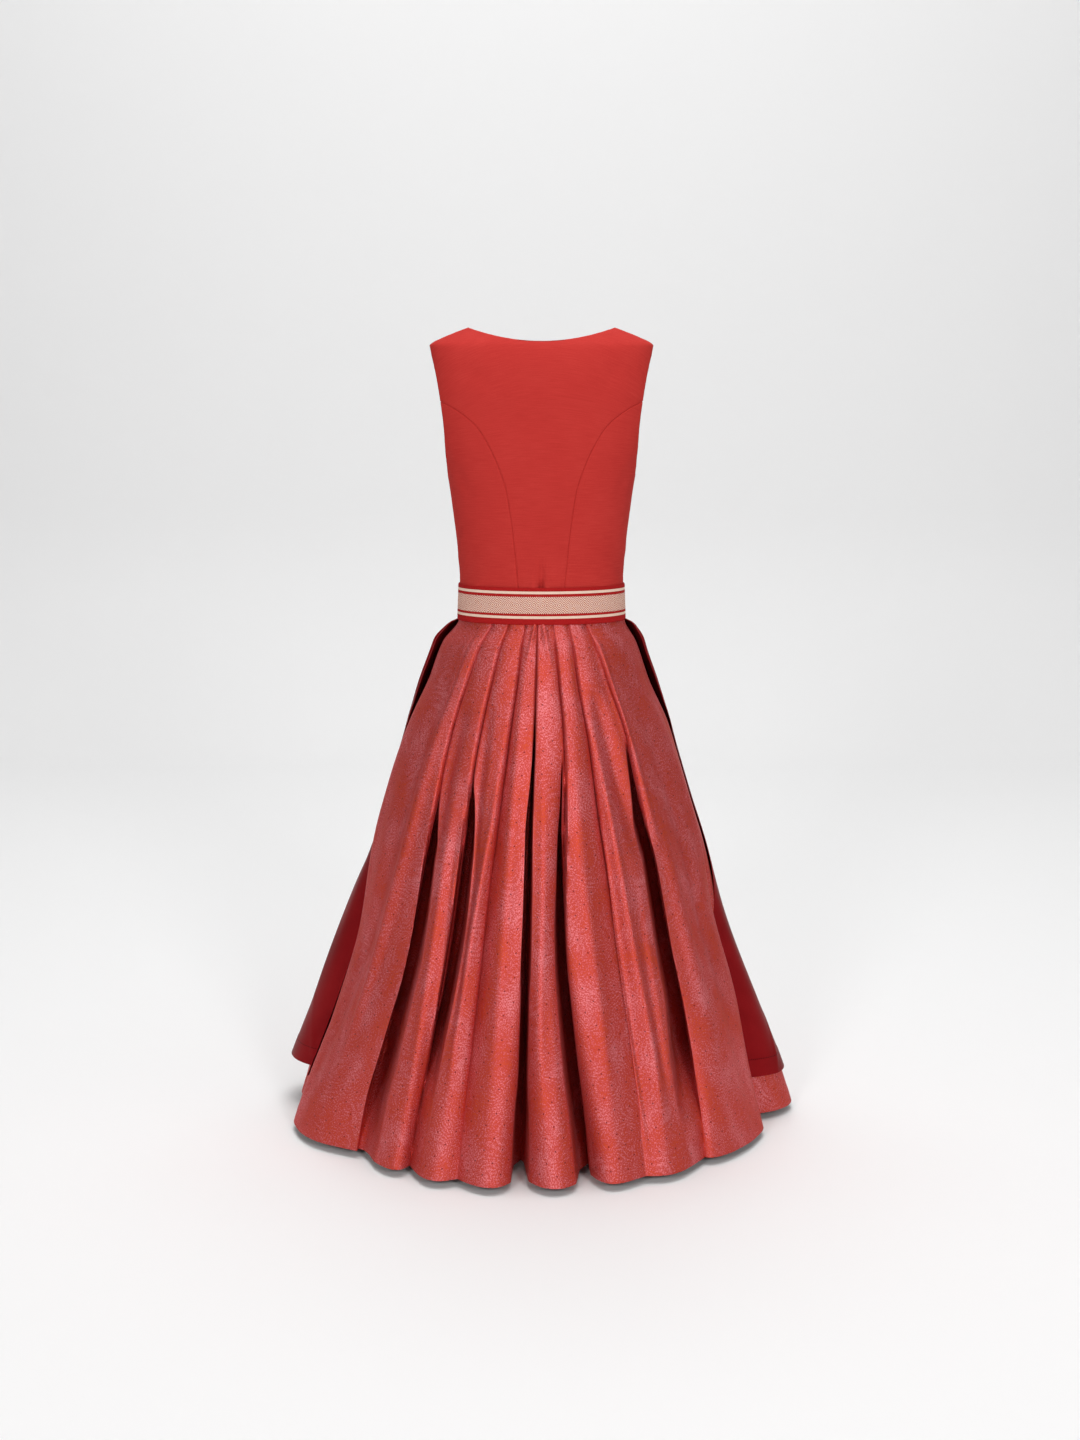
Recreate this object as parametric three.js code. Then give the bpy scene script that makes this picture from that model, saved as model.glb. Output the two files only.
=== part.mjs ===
// A sleeveless dirndl with its apron, filled out as it is worn, with nobody in it.
// Millimetres, +Z up, the front faces -Y and the wearer's left is +X.
// The origin lies between the shoulders, level with the two points where the straps meet the neck.
//
// Every piece is a wall of cloth. Its points come from one of two surfaces:
//   bodiceAt(turn, z)  the torso, as a squared ellipse at each height;
//   skirtAt(turn, z)   the flared skirt, an ellipse at each height with pleats let into it.
// "turn" is the angle in degrees from the centre back (0) by the wearer's left side (90) to the
// centre front (180); the wearer's right side is -90.
import * as THREE from "three";

// ---- driving dimensions ----
const SEAM_GAP = 0.3; // left open between two pieces that are sewn together
const BODICE_CLOTH = 1.6;
const SKIRT_CLOTH = 1.5;
const APRON_CLOTH = 1.2;
const BAND_CLOTH = 1.6;

const NECK_HALF_WIDTH = 107.5; // the straps meet the neck here
const SHOULDER_TIP_Z = -27;
const UNDERARM_Z = -217;
const WAIST_Z = -404; // where the bodice is sewn to the skirt
const BAND_TOP_Z = -377;
const BAND_BOTTOM_Z = -431;
const APRON_TOP_Z = BAND_BOTTOM_Z - SEAM_GAP; // gathered into the band's lower edge
const APRON_HEM_Z = -1131;
const SKIRT_HEM_Z = -1191;

const BACK_NECK_DROP = 21;
const FRONT_NECK_DROP = 165;
const BACK_ARMHOLE_CUT = 25; // degrees that the armhole cuts into the back
const FRONT_ARMHOLE_CUT = 28;
const ARMHOLE_ROUNDNESS = 0.6;
const ARMHOLE_SKEW = 0.85; // below 1 it is widest below its middle

// The torso at each height: half its width, its depth to the back and to the front of the side
// seams, and how square its section is (2 is an ellipse).
const TORSO = [
  { z: 0, halfWidth: 107.5, back: 14, front: 14, square: 2.0 },
  { z: -8, halfWidth: 128.5, back: 34, front: 32, square: 2.05 },
  { z: -16, halfWidth: 147.5, back: 50, front: 44, square: 2.1 },
  { z: -22, halfWidth: 160, back: 59, front: 51, square: 2.15 },
  { z: -27, halfWidth: 165, back: 65, front: 55, square: 2.2 },
  { z: -38, halfWidth: 164.5, back: 72, front: 61, square: 2.25 },
  { z: -60, halfWidth: 163, back: 81, front: 72, square: 2.3 },
  { z: -106, halfWidth: 160.5, back: 92, front: 90, square: 2.4 },
  { z: -150, halfWidth: 155, back: 97, front: 103, square: 2.45 },
  { z: -180, halfWidth: 149.5, back: 99, front: 111, square: 2.45 },
  { z: -217, halfWidth: 139.5, back: 99, front: 117, square: 2.4 },
  { z: -265, halfWidth: 132.5, back: 96, front: 116, square: 2.3 },
  { z: -330, halfWidth: 125, back: 91, front: 103, square: 2.15 },
  { z: -372, halfWidth: 122.5, back: 89.5, front: 96, square: 2.0 },
  { z: -404, halfWidth: 122.5, back: 90, front: 93.5, square: 2.0 },
];
const BUST = { x: 84, z: -258, rise: 13, acrossReach: 50, upReach: 52, fade: 0.35 };

// The curved seams between centre and side panels, from the waist up to the armhole.
const BACK_SEAM = [
  { x: 34, z: -404 },
  { x: 35, z: -372 },
  { x: 42, z: -298 },
  { x: 50, z: -242 },
  { x: 59, z: -211 },
  { x: 75, z: -175 },
  { x: 96, z: -143 },
  { x: 124, z: -121 },
];
const BACK_SEAM_TOP_Z = -108;
const FRONT_SEAM = [
  { x: 50, z: -404 },
  { x: 60, z: -350 },
  { x: 80, z: -275 },
  { x: 92, z: -215 },
  { x: 112, z: -160 },
  { x: 132, z: -136 },
];
const FRONT_SEAM_TOP_Z = -122;

// The skirt over the crests of its folds, out to each side and to the back and front.
const SKIRT = [
  { z: -404, left: 122.5, right: 122.5, back: 90, front: 93.5 },
  { z: -431, left: 124.5, right: 124.5, back: 92, front: 95 },
  { z: -464, left: 149, right: 142, back: 116, front: 109 },
  { z: -524, left: 172, right: 163, back: 145, front: 129 },
  { z: -586, left: 199, right: 191, back: 171, front: 150 },
  { z: -647, left: 220, right: 210, back: 194, front: 170 },
  { z: -717, left: 240, right: 231, back: 217, front: 191 },
  { z: -768, left: 255, right: 247, back: 233, front: 206 },
  { z: -866, left: 285, right: 274, back: 262, front: 233 },
  { z: -1025, left: 338, right: 334, back: 306, front: 279 },
  { z: -1131, left: 376, right: 374, back: 336, front: 311 },
  { z: -1191, left: 395, right: 393, back: 352, front: 328 },
];

// The hollows between folds: their turn at the waist, at two heights below it and at the hem, the
// height where the pleat over each begins to open, and its depth at the hem as a share of the
// radius.
const HOLLOWS = [
  { waist: -104, upper: -106, middle: -108, hem: -112, opens: -560, depth: 0.1 },
  { waist: -78, upper: -78, middle: -77, hem: -80, opens: -700, depth: 0.165 },
  { waist: -31, upper: -39.5, middle: -42, hem: -37, opens: -640, depth: 0.14 },
  { waist: -18.6, upper: -21, middle: -23, hem: -22, opens: -630, depth: 0.065 },
  { waist: -7.5, upper: -10, middle: -7, hem: -10, opens: -560, depth: 0.145 },
  { waist: 2.6, upper: 2.9, middle: 4.2, hem: 4.4, opens: -540, depth: 0.145 },
  { waist: 10.6, upper: 13.2, middle: 17, hem: 17.5, opens: -620, depth: 0.06 },
  { waist: 22.6, upper: 27, middle: 27.8, hem: 28.5, opens: -620, depth: 0.13 },
  { waist: 35.4, upper: 42.2, middle: 42.3, hem: 41, opens: -670, depth: 0.14 },
  { waist: 94, upper: 92, middle: 90, hem: 89, opens: -690, depth: 0.13 },
  { waist: 116, upper: 118, middle: 119, hem: 122, opens: -600, depth: 0.12 },
  { waist: 142, upper: 144, middle: 146, hem: 149, opens: -560, depth: 0.09 },
  { waist: 172, upper: 174, middle: 176, hem: 177, opens: -580, depth: 0.1 },
  { waist: 204, upper: 204, middle: 204, hem: 205, opens: -560, depth: 0.09 },
  { waist: 232, upper: 230, middle: 228, hem: 226, opens: -580, depth: 0.09 },
];
// The fold after each hollow, towards larger turns: how far its crest stands out past the crest
// line, and at what share of its width it is highest, half way down and at the hem.
const FOLDS = [
  { crestMiddle: -0.01, crestHem: 0, topMiddle: 0.55, topHem: 0.55 },
  { crestMiddle: -0.02, crestHem: -0.075, topMiddle: 0.3, topHem: 0.7 },
  { crestMiddle: -0.02, crestHem: -0.035, topMiddle: 0.62, topHem: 0.55 },
  { crestMiddle: -0.01, crestHem: -0.02, topMiddle: 0.6, topHem: 0.5 },
  { crestMiddle: 0, crestHem: 0, topMiddle: 0.6, topHem: 0.5 },
  { crestMiddle: 0, crestHem: 0.005, topMiddle: 0.42, topHem: 0.5 },
  { crestMiddle: -0.005, crestHem: -0.01, topMiddle: 0.4, topHem: 0.5 },
  { crestMiddle: -0.02, crestHem: -0.042, topMiddle: 0.4, topHem: 0.5 },
  { crestMiddle: -0.062, crestHem: -0.012, topMiddle: 0.62, topHem: 0.64 },
  { crestMiddle: 0, crestHem: -0.01, topMiddle: 0.5, topHem: 0.5 },
  { crestMiddle: 0.01, crestHem: 0.01, topMiddle: 0.5, topHem: 0.5 },
  { crestMiddle: 0, crestHem: 0, topMiddle: 0.5, topHem: 0.5 },
  { crestMiddle: 0, crestHem: 0.01, topMiddle: 0.5, topHem: 0.5 },
  { crestMiddle: 0, crestHem: 0, topMiddle: 0.5, topHem: 0.5 },
  { crestMiddle: -0.01, crestHem: -0.02, topMiddle: 0.5, topHem: 0.5 },
];
const CENTRE_HOLLOW = 5; // the pleats of the back are all laid towards this one
const FIRST_LAID = 2; // hollows from here to LAST_LAID lie under a pressed pleat
const LAST_LAID = 8;
const UPPER_Z = -556;
const MIDDLE_Z = -866;
const MIDDLE_DEPTH = 0.85; // how much of a hollow's depth at the hem it has there
const CREST_EASE = { from: -720, to: -926 }; // where the crests come to stand in or out
const PLEAT_EDGE = 0.93; // a laid pleat drops to its hollow from this share of its width
const PLEAT_STEP = 0.03; // the height of its edge at the waist, as a share of the radius
const SOFT_STEP = 0.012; // the same for the hollows at the sides and front
const OPENING_LENGTH = 260; // a hollow has its full depth this far below where it opens
const ROUNDING_FROM_Z = -700; // the pleats' edges begin to round off here, and are round at the hem
const FOLD_FLATNESS = 3.4; // how broad a fold's crest is half way down
const HEM_FLATNESS = 2.1;
const STEEPEST = 2.2; // the wall gets no thicker than this many times its cloth on a slope

// The apron lies on the skirt, is gathered at the band and stands off it below the waist.
const APRON_EASE = [
  { z: -431, off: 1.4, leftFlare: 0 },
  { z: -435, off: 8.5, leftFlare: 0 },
  { z: -443, off: 11, leftFlare: 0 },
  { z: -480, off: 8.5, leftFlare: 0 },
  { z: -520, off: 10.5, leftFlare: 0 },
  { z: -570, off: 6, leftFlare: 0 },
  { z: -620, off: 3, leftFlare: 0 },
  { z: -740, off: 2.6, leftFlare: 0 },
  { z: -866, off: 4, leftFlare: 12 },
  { z: -1131, off: 4, leftFlare: 32 },
];
const LEFT_FLARE = { from: 86, peak: 106, to: 145 }; // the turns over which it swells and dies away
const APRON_EDGES = [
  { z: -431, left: 92, right: -92 },
  { z: -520, left: 93, right: -93 },
  { z: -620, left: 95, right: -95 },
  { z: -700, left: 96, right: -94 },
  { z: -760, left: 94, right: -90 },
  { z: -820, left: 90.5, right: -84 },
  { z: -880, left: 87, right: -79 },
  { z: -950, left: 84, right: -76 },
  { z: -1131, left: 82, right: -75 },
];
const APRON_BRIDGES = 0.5; // it dips into the skirt's hollows by this share of their depth
const APRON_TUCK = 16; // degrees from each side edge over which it comes to follow them fully
const APRON_PLEATS = 15;
const APRON_PLEAT_RISE = 3.2;
const APRON_PLEATS_GROW_TO_Z = -457;
const APRON_PLEATS_FADE = { from: -520, to: -760 };

// The band closes at the front, on the wearer's right, where its end laps over its start.
const BAND_END_TURN = 190;
const BAND_LAP = 38;
const BAND_LAP_RISE = BAND_CLOTH + SEAM_GAP;
const BAND_RAMP_TURN = 6; // degrees over which the end climbs onto the start
const BAND_FRONT_RADIUS = 110;
const BAND_INSIDE = {
  top: { halfWidth: 123.4, back: 90.6, front: 96.4 },
  bottom: { halfWidth: 125, back: 92.8, front: 95.8 },
};

// How many squares each piece is divided into.
const NECK_COLUMNS = 6; // half the back neckline
const SHOULDER_COLUMNS = 3;
const FRONT_PANEL_ACROSS = 7;
const OPENING_ROWS = 5; // up the front opening; the rest go round the front neckline
const SIDE_PANEL_ACROSS = 5;
const SEAM_ROWS = 9; // up a curved seam, and up the side seam beside it
const ARMHOLE_ROWS = 6;
const FOLD_SHARES = [0, 0.07, 0.22, 0.42, 0.64, 0.84, 0.93];
const CLEAR_OF_SEAM = 1.2; // degrees left free of them beside a side seam
const SKIRT_HEIGHTS = [
  WAIST_Z, -418, BAND_BOTTOM_Z, -446, -464, -500, -550, -610, -670, -730, -790, -840, -880, -950,
  -1040, -1120, SKIRT_HEM_Z,
];
const APRON_ACROSS = 60;
const APRON_FINE = { columns: 4, parts: 3 }; // the columns next to each side edge are split
const APRON_HEIGHTS = [
  APRON_TOP_Z, -435, -446, -464, -492, -530, -580, -640, -700, -755, -800, -840, -880, -930, -990,
  -1060, APRON_HEM_Z,
];
const BAND_STEPS = 64;

// ---- small tools ----
const degrees = (a) => (a * Math.PI) / 180;
const mix = (a, b, t) => a + (b - a) * t;
const clamp = (t, low, high) => Math.min(high, Math.max(low, t));

function smooth(from, to, value) {
  const t = clamp((value - from) / (to - from), 0, 1);
  return t * t * (3 - 2 * t);
}

// A column of a table at height z, on a curve through its rows that never overshoots them.
function along(table, z, column) {
  const last = table.length - 1;
  if (z >= table[0].z) return table[0][column];
  if (z <= table[last].z) return table[last][column];
  let i = 0;
  while (table[i + 1].z > z) i++;
  const slope = (k) => {
    if (k < 0 || k >= last) return null;
    return (table[k + 1][column] - table[k][column]) / (table[k + 1].z - table[k].z);
  };
  const tangent = (k) => {
    const before = slope(k - 1);
    const after = slope(k);
    if (before === null) return after;
    if (after === null) return before;
    return before * after <= 0 ? 0 : (2 * before * after) / (before + after);
  };
  const span = table[i + 1].z - table[i].z;
  const t = (z - table[i].z) / span;
  const h = [(1 + 2 * t) * (1 - t) ** 2, t * (1 - t) ** 2, t * t * (3 - 2 * t), t * t * (t - 1)];
  return (
    h[0] * table[i][column] +
    h[1] * span * tangent(i) +
    h[2] * table[i + 1][column] +
    h[3] * span * tangent(i + 1)
  );
}

// ---- the two surfaces ----
const signedPower = (value, power) => Math.sign(value) * Math.abs(value) ** power;

function bodiceAt(turn, z) {
  const halfWidth = along(TORSO, z, "halfWidth");
  const power = 2 / along(TORSO, z, "square");
  const forward = Math.cos(degrees(turn)) < 0;
  const depth = along(TORSO, z, forward ? "front" : "back");
  const x = halfWidth * signedPower(Math.sin(degrees(turn)), power);
  let y = depth * signedPower(Math.cos(degrees(turn)), power);
  if (forward) {
    const across = (Math.abs(x) - BUST.x) / BUST.acrossReach;
    const up = (z - BUST.z) / BUST.upReach;
    const fade = smooth(0, BUST.fade, -Math.cos(degrees(turn)));
    y -= BUST.rise * fade * Math.exp(-across * across - up * up);
  }
  return new THREE.Vector3(x, y, z);
}

// The turn at which the torso is x wide at height z, on the back (0 to 90) or the front.
function turnOf(x, z, onFront) {
  const share = clamp(x / along(TORSO, z, "halfWidth"), 0, 1);
  const turn = (Math.asin(share ** (along(TORSO, z, "square") / 2)) * 180) / Math.PI;
  return onFront ? 180 - turn : turn;
}

function hollowTurn(hollow, z) {
  const path = [
    { z: WAIST_Z, turn: hollow.waist },
    { z: UPPER_Z, turn: hollow.upper },
    { z: MIDDLE_Z, turn: hollow.middle },
    { z: SKIRT_HEM_Z, turn: hollow.hem },
  ];
  return along(path, z, "turn");
}

function hollowDepth(index, z) {
  const { opens, depth } = HOLLOWS[index];
  const laid = index >= FIRST_LAID && index <= LAST_LAID;
  const closed = laid ? PLEAT_STEP : SOFT_STEP;
  const opened = mix(closed, depth * MIDDLE_DEPTH, smooth(opens, opens - OPENING_LENGTH, z));
  return mix(opened, depth, smooth(opens - OPENING_LENGTH, SKIRT_HEM_Z, z));
}

// The radius at a turn and height as a share of the crest line's, with the hollows taken in by
// "share" of their depth: 1 for the skirt itself, less for cloth that bridges them.
function foldShare(turn, z, share) {
  const count = HOLLOWS.length;
  const turns = HOLLOWS.map((hollow) => hollowTurn(hollow, z));
  let at = turn;
  while (at < turns[0]) at += 360;
  while (at >= turns[0] + 360) at -= 360;
  let i = count - 1;
  while (i > 0 && turns[i] > at) i--;
  const next = (i + 1) % count;
  const end = turns[next] + (next === 0 ? 360 : 0);
  const s = clamp((at - turns[i]) / (end - turns[i]), 0, 1);

  const fold = FOLDS[i];
  const low = smooth(MIDDLE_Z, SKIRT_HEM_Z, z);
  const flatness = mix(FOLD_FLATNESS, HEM_FLATNESS, low);
  const top = mix(fold.topMiddle, fold.topHem, low);
  const leaning = s ** (Math.log(0.5) / Math.log(top));
  const round = 1 - Math.abs(2 * leaning - 1) ** flatness;
  let height = round;
  const isPleat = i >= FIRST_LAID - 1 && i <= LAST_LAID;
  if (isPleat) {
    // A laid pleat keeps its full height towards the centre back, up to its edge.
    const towardsBack = i < CENTRE_HOLLOW;
    const inward = towardsBack ? s : 1 - s;
    const pastTop = towardsBack ? s > top : s < top;
    const drop = clamp((1 - inward) / (1 - PLEAT_EDGE), 0, 1);
    const laid = Math.min(pastTop ? 1 : round, drop);
    height = mix(laid, round, smooth(ROUNDING_FROM_Z, SKIRT_HEM_Z, z));
  }
  const depth = mix(hollowDepth(i, z), hollowDepth(next, z), s);
  const above = mix(0, fold.crestMiddle, smooth(CREST_EASE.from, CREST_EASE.to, z));
  const crest = mix(above, fold.crestHem, smooth(CREST_EASE.to, SKIRT_HEM_Z, z));
  return 1 + crest * height - share * depth * (1 - height);
}

function skirtSection(turn, z, share) {
  const forward = Math.cos(degrees(turn)) < 0;
  const rightward = Math.sin(degrees(turn)) < 0;
  const x = along(SKIRT, z, rightward ? "right" : "left") * Math.sin(degrees(turn));
  const y = along(SKIRT, z, forward ? "front" : "back") * Math.cos(degrees(turn));
  return new THREE.Vector3(x * share, y * share, z);
}

function skirtAt(turn, z) {
  return skirtSection(turn, z, foldShare(turn, z, 1));
}

// The apron's surface at a share of the way across it, from its left edge (0) to its right (1).
function apronAt(u, z) {
  const left = along(APRON_EDGES, z, "left");
  const right = along(APRON_EDGES, z, "right") + 360;
  const turn = mix(left, right, u);
  const fromEdge = Math.min(turn - left, right - turn);
  const dip = mix(1, APRON_BRIDGES, smooth(0, APRON_TUCK, fromEdge));
  const point = skirtSection(turn, z, foldShare(turn, z, dip));
  const wave = 0.5 - 0.5 * Math.cos(2 * Math.PI * APRON_PLEATS * u);
  const grows = smooth(APRON_TOP_Z, APRON_PLEATS_GROW_TO_Z, z);
  const fades = 1 - smooth(APRON_PLEATS_FADE.from, APRON_PLEATS_FADE.to, z);
  const rise = APRON_PLEAT_RISE * wave * grows * fades;
  const swell = smooth(LEFT_FLARE.from, LEFT_FLARE.peak, turn);
  const dies = 1 - smooth(LEFT_FLARE.peak, LEFT_FLARE.to, turn);
  const flare = along(APRON_EASE, z, "leftFlare") * swell * dies;
  return outwards(point, along(APRON_EASE, z, "off") + APRON_CLOTH + rise + flare);
}

// The point moved away from the vertical axis.
function outwards(point, distance) {
  const radius = Math.hypot(point.x, point.y);
  const scale = (radius + distance) / radius;
  return new THREE.Vector3(point.x * scale, point.y * scale, point.z);
}

// ---- walls ----
// A closed wall between two sheets of points, outer[row][column] and inner[row][column]. Rows go
// up and columns go by growing turn, which is to the left as seen from outside.
function wallOf(outer, inner) {
  const rows = outer.length;
  const columns = outer[0].length;
  const sheets = [outer, inner];
  const positions = sheets.flat(2).flatMap((p) => [p.x, p.y, p.z]);
  const id = (sheet, r, c) => (sheet * rows + r) * columns + c;
  const index = [];
  const square = (a, b, c, d) => index.push(a, b, c, a, c, d);
  const top = rows - 1;
  const end = columns - 1;
  for (let c = 0; c < end; c++) {
    for (let r = 0; r < top; r++) {
      square(id(0, r, c), id(0, r + 1, c), id(0, r + 1, c + 1), id(0, r, c + 1));
      square(id(1, r, c), id(1, r, c + 1), id(1, r + 1, c + 1), id(1, r + 1, c));
    }
    square(id(0, 0, c), id(0, 0, c + 1), id(1, 0, c + 1), id(1, 0, c));
    square(id(0, top, c), id(1, top, c), id(1, top, c + 1), id(0, top, c + 1));
  }
  for (let r = 0; r < top; r++) {
    square(id(0, r, 0), id(1, r, 0), id(1, r + 1, 0), id(0, r + 1, 0));
    square(id(0, r, end), id(0, r + 1, end), id(1, r + 1, end), id(1, r, end));
  }
  const geometry = new THREE.BufferGeometry();
  geometry.setAttribute("position", new THREE.Float32BufferAttribute(positions, 3));
  geometry.setIndex(index);
  geometry.computeVertexNormals();
  return geometry;
}

// ---- the bodice ----
// Patterns are drawn as points { turn, z } on the torso.
function torsoNormal(turn, z) {
  const step = 0.6;
  const around = bodiceAt(turn - step, z).sub(bodiceAt(turn + step, z));
  const up = bodiceAt(turn, z + step).sub(bodiceAt(turn, z - step));
  return new THREE.Vector3().crossVectors(up, around).normalize().negate();
}

function armholeAt(z, onFront) {
  const t = clamp((z - UNDERARM_Z) / (SHOULDER_TIP_Z - UNDERARM_Z), 0, 1);
  const bow = Math.max(0, Math.sin(Math.PI * t ** ARMHOLE_SKEW)) ** ARMHOLE_ROUNDNESS;
  const cut = bow * (onFront ? FRONT_ARMHOLE_CUT : BACK_ARMHOLE_CUT);
  return { turn: onFront ? 90 + cut : 90 - cut, z };
}

// Points evenly spaced in length along a line of pattern points.
function spaced(line, count) {
  const places = line.map((p) => bodiceAt(p.turn, p.z));
  const lengths = [0];
  for (let i = 1; i < line.length; i++) {
    lengths.push(lengths[i - 1] + places[i].distanceTo(places[i - 1]));
  }
  const total = lengths[line.length - 1];
  return Array.from({ length: count + 1 }, (_, k) => {
    const wanted = (total * k) / count;
    let i = 0;
    while (i < line.length - 2 && lengths[i + 1] < wanted) i++;
    const t = (wanted - lengths[i]) / (lengths[i + 1] - lengths[i]);
    return { turn: mix(line[i].turn, line[i + 1].turn, t), z: mix(line[i].z, line[i + 1].z, t) };
  });
}

// A curved seam through the rows of its table, ending on the armhole.
function seamLine(table, topZ, onFront) {
  const end = armholeAt(topZ, onFront);
  const tip = bodiceAt(end.turn, end.z);
  const curve = new THREE.CatmullRomCurve3(
    [...table.map((p) => new THREE.Vector3(p.x, 0, p.z)), new THREE.Vector3(tip.x, 0, tip.z)],
    false,
    "centripetal",
  );
  const steps = 60;
  const line = curve.getPoints(steps).map((p) => ({ turn: turnOf(p.x, p.z, onFront), z: p.z }));
  line[steps] = end;
  return spaced(line, SEAM_ROWS);
}

function armholeLine(fromZ, toZ, onFront, count) {
  const steps = 80;
  const line = Array.from({ length: steps + 1 }, (_, k) => {
    const share = 0.5 - 0.5 * Math.cos((Math.PI * k) / steps);
    return armholeAt(mix(fromZ, toZ, share), onFront);
  });
  return spaced(line, count);
}

function neckLine(onFront, count) {
  const steps = 60;
  const line = Array.from({ length: steps + 1 }, (_, k) => {
    const x = NECK_HALF_WIDTH * Math.sin((Math.PI / 2) * (k / steps));
    const out = x / NECK_HALF_WIDTH;
    const z = onFront
      ? -FRONT_NECK_DROP * Math.max(0, 1 - out ** 2.2) ** (1 / 2.6)
      : -BACK_NECK_DROP * (1 - out ** 2);
    return { turn: k === steps ? 90 : turnOf(x, z, onFront), z };
  });
  return spaced(line, count);
}

// A patch between four lines of points, blended in z and in one measure across, which is "turn"
// or "x". It is grid[row][column], with rows from bottom to top, as high as those of "end".
function patch(bottom, top, start, end, across) {
  const rows = start.length - 1;
  const columns = bottom.length - 1;
  const blend = (key, r, c) => {
    const v = (end[r].z - end[0].z) / (end[rows].z - end[0].z);
    const u = c / columns;
    const ruled =
      mix(start[r][key], end[r][key], u) + mix(bottom[c][key], top[c][key], v);
    const corners = mix(
      mix(start[0][key], end[0][key], u),
      mix(start[rows][key], end[rows][key], u),
      v,
    );
    return ruled - corners;
  };
  return start.map((_, r) =>
    bottom.map((__, c) => ({ [across]: blend(across, r, c), z: blend("z", r, c) })),
  );
}

// The patch of a centre panel, which is blended as it looks from straight behind or in front.
function centrePatch(bottom, top, inner, outer, onFront) {
  const flat = (line) => line.map((p) => ({ x: bodiceAt(p.turn, p.z).x, z: p.z }));
  const grid = patch(flat(bottom), flat(top), flat(inner), flat(outer), "x");
  return grid.map((row) => row.map((p) => ({ turn: turnOf(p.x, p.z, onFront), z: p.z })));
}

const straight = (from, to, count) =>
  Array.from({ length: count + 1 }, (_, k) => ({
    turn: mix(from.turn, to.turn, k / count),
    z: mix(from.z, to.z, k / count),
  }));

// The outer edge of a centre panel: up the curved seam and the armhole to the shoulder's tip.
function outerEdge(onFront, seam) {
  const seamTopZ = seam[seam.length - 1].z;
  return [...seam, ...armholeLine(seamTopZ, SHOULDER_TIP_Z, onFront, ARMHOLE_ROWS).slice(1)];
}

// Half of the back panel, whose neckline and shoulder seam are its top edge.
function backHalf(seam) {
  const outer = outerEdge(false, seam);
  const neck = neckLine(false, NECK_COLUMNS);
  const tip = outer[outer.length - 1];
  const top = [...neck, ...straight(neck[NECK_COLUMNS], tip, SHOULDER_COLUMNS).slice(1)];
  const centre = outer.map((p) => {
    const up = (p.z - WAIST_Z) / (tip.z - WAIST_Z);
    return { turn: 0, z: mix(WAIST_Z, neck[0].z, up) };
  });
  const bottom = straight(centre[0], outer[0], top.length - 1);
  return centrePatch(bottom, top, centre, outer, false);
}

// One front panel: its inner edge goes up the opening and then round the neckline.
function frontHalf(seam) {
  const outer = outerEdge(true, seam);
  const neck = neckLine(true, SEAM_ROWS + ARMHOLE_ROWS - OPENING_ROWS);
  const opening = straight({ turn: 180, z: WAIST_Z }, neck[0], OPENING_ROWS);
  const inner = [...opening, ...neck.slice(1)];
  const bottom = straight(inner[0], outer[0], FRONT_PANEL_ACROSS);
  const top = straight(inner[inner.length - 1], outer[outer.length - 1], FRONT_PANEL_ACROSS);
  return centrePatch(bottom, top, inner, outer, true);
}

// The side panel, from the curved seam to the side seam, with the armhole along its top.
function sideGrid(onFront, seam) {
  const seamTopZ = seam[seam.length - 1].z;
  const side = straight({ turn: 90, z: WAIST_Z }, { turn: 90, z: UNDERARM_Z }, SEAM_ROWS);
  const top = armholeLine(seamTopZ, UNDERARM_Z, onFront, SIDE_PANEL_ACROSS);
  const bottom = straight(seam[0], side[0], SIDE_PANEL_ACROSS);
  return patch(bottom, top, seam, side, "turn");
}

// Moves the edges of a grid of points inwards, to leave half a seam's gap on each side.
function drawnIn(grid, sides) {
  const rows = grid.length;
  const columns = grid[0].length;
  const shifted = grid.map((row) => row.map((p) => p.clone()));
  const pull = (r, c, towardsR, towardsC) => {
    const way = grid[towardsR][towardsC].clone().sub(grid[r][c]).normalize();
    shifted[r][c].addScaledVector(way, SEAM_GAP / 2);
  };
  for (let r = 0; r < rows; r++) {
    if (sides.start) pull(r, 0, r, 1);
    if (sides.end) pull(r, columns - 1, r, columns - 2);
  }
  for (let c = 0; c < columns; c++) {
    if (sides.bottom) pull(0, c, 1, c);
    if (sides.top) pull(rows - 1, c, rows - 2, c);
  }
  return shifted;
}

// A wall from a grid of pattern points. Side is 1 for the wearer's left and -1 for the right.
function panelWall(pattern, side, sides) {
  const place = (p) => bodiceAt(p.turn, p.z);
  const outer = drawnIn(pattern.map((row) => row.map(place)), sides);
  const inner = outer.map((row, r) =>
    row.map((p, c) => {
      const { turn, z } = pattern[r][c];
      return p.clone().addScaledVector(torsoNormal(turn, z), -BODICE_CLOTH);
    }),
  );
  const mirror = (sheet) =>
    sheet.map((row) => row.map((p) => new THREE.Vector3(p.x * side, p.y, p.z)));
  return { outer: mirror(outer), inner: mirror(inner) };
}

const reversedColumns = (sheet) => sheet.map((row) => [...row].reverse());

// The wall of a panel, whose columns may go by growing turn or by shrinking turn.
function bodiceMesh(name, wall, growing) {
  const ordered = growing ? wall.outer : reversedColumns(wall.outer);
  const inside = growing ? wall.inner : reversedColumns(wall.inner);
  return named(name, wallOf(ordered, inside), bodiceCloth);
}

// ---- materials ----
const cloth = (color, roughness) =>
  new THREE.MeshStandardMaterial({ color, roughness, metalness: 0 });
const bodiceCloth = cloth(0xbc3632, 0.85);
const skirtCloth = cloth(0xc4524c, 0.55);
const apronCloth = cloth(0x8a1a1f, 0.4);
const bandCloth = cloth(0xd6a592, 0.8);

function named(name, geometry, material) {
  const mesh = new THREE.Mesh(geometry, material);
  mesh.name = name;
  return mesh;
}

const dirndl = new THREE.Group();

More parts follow.
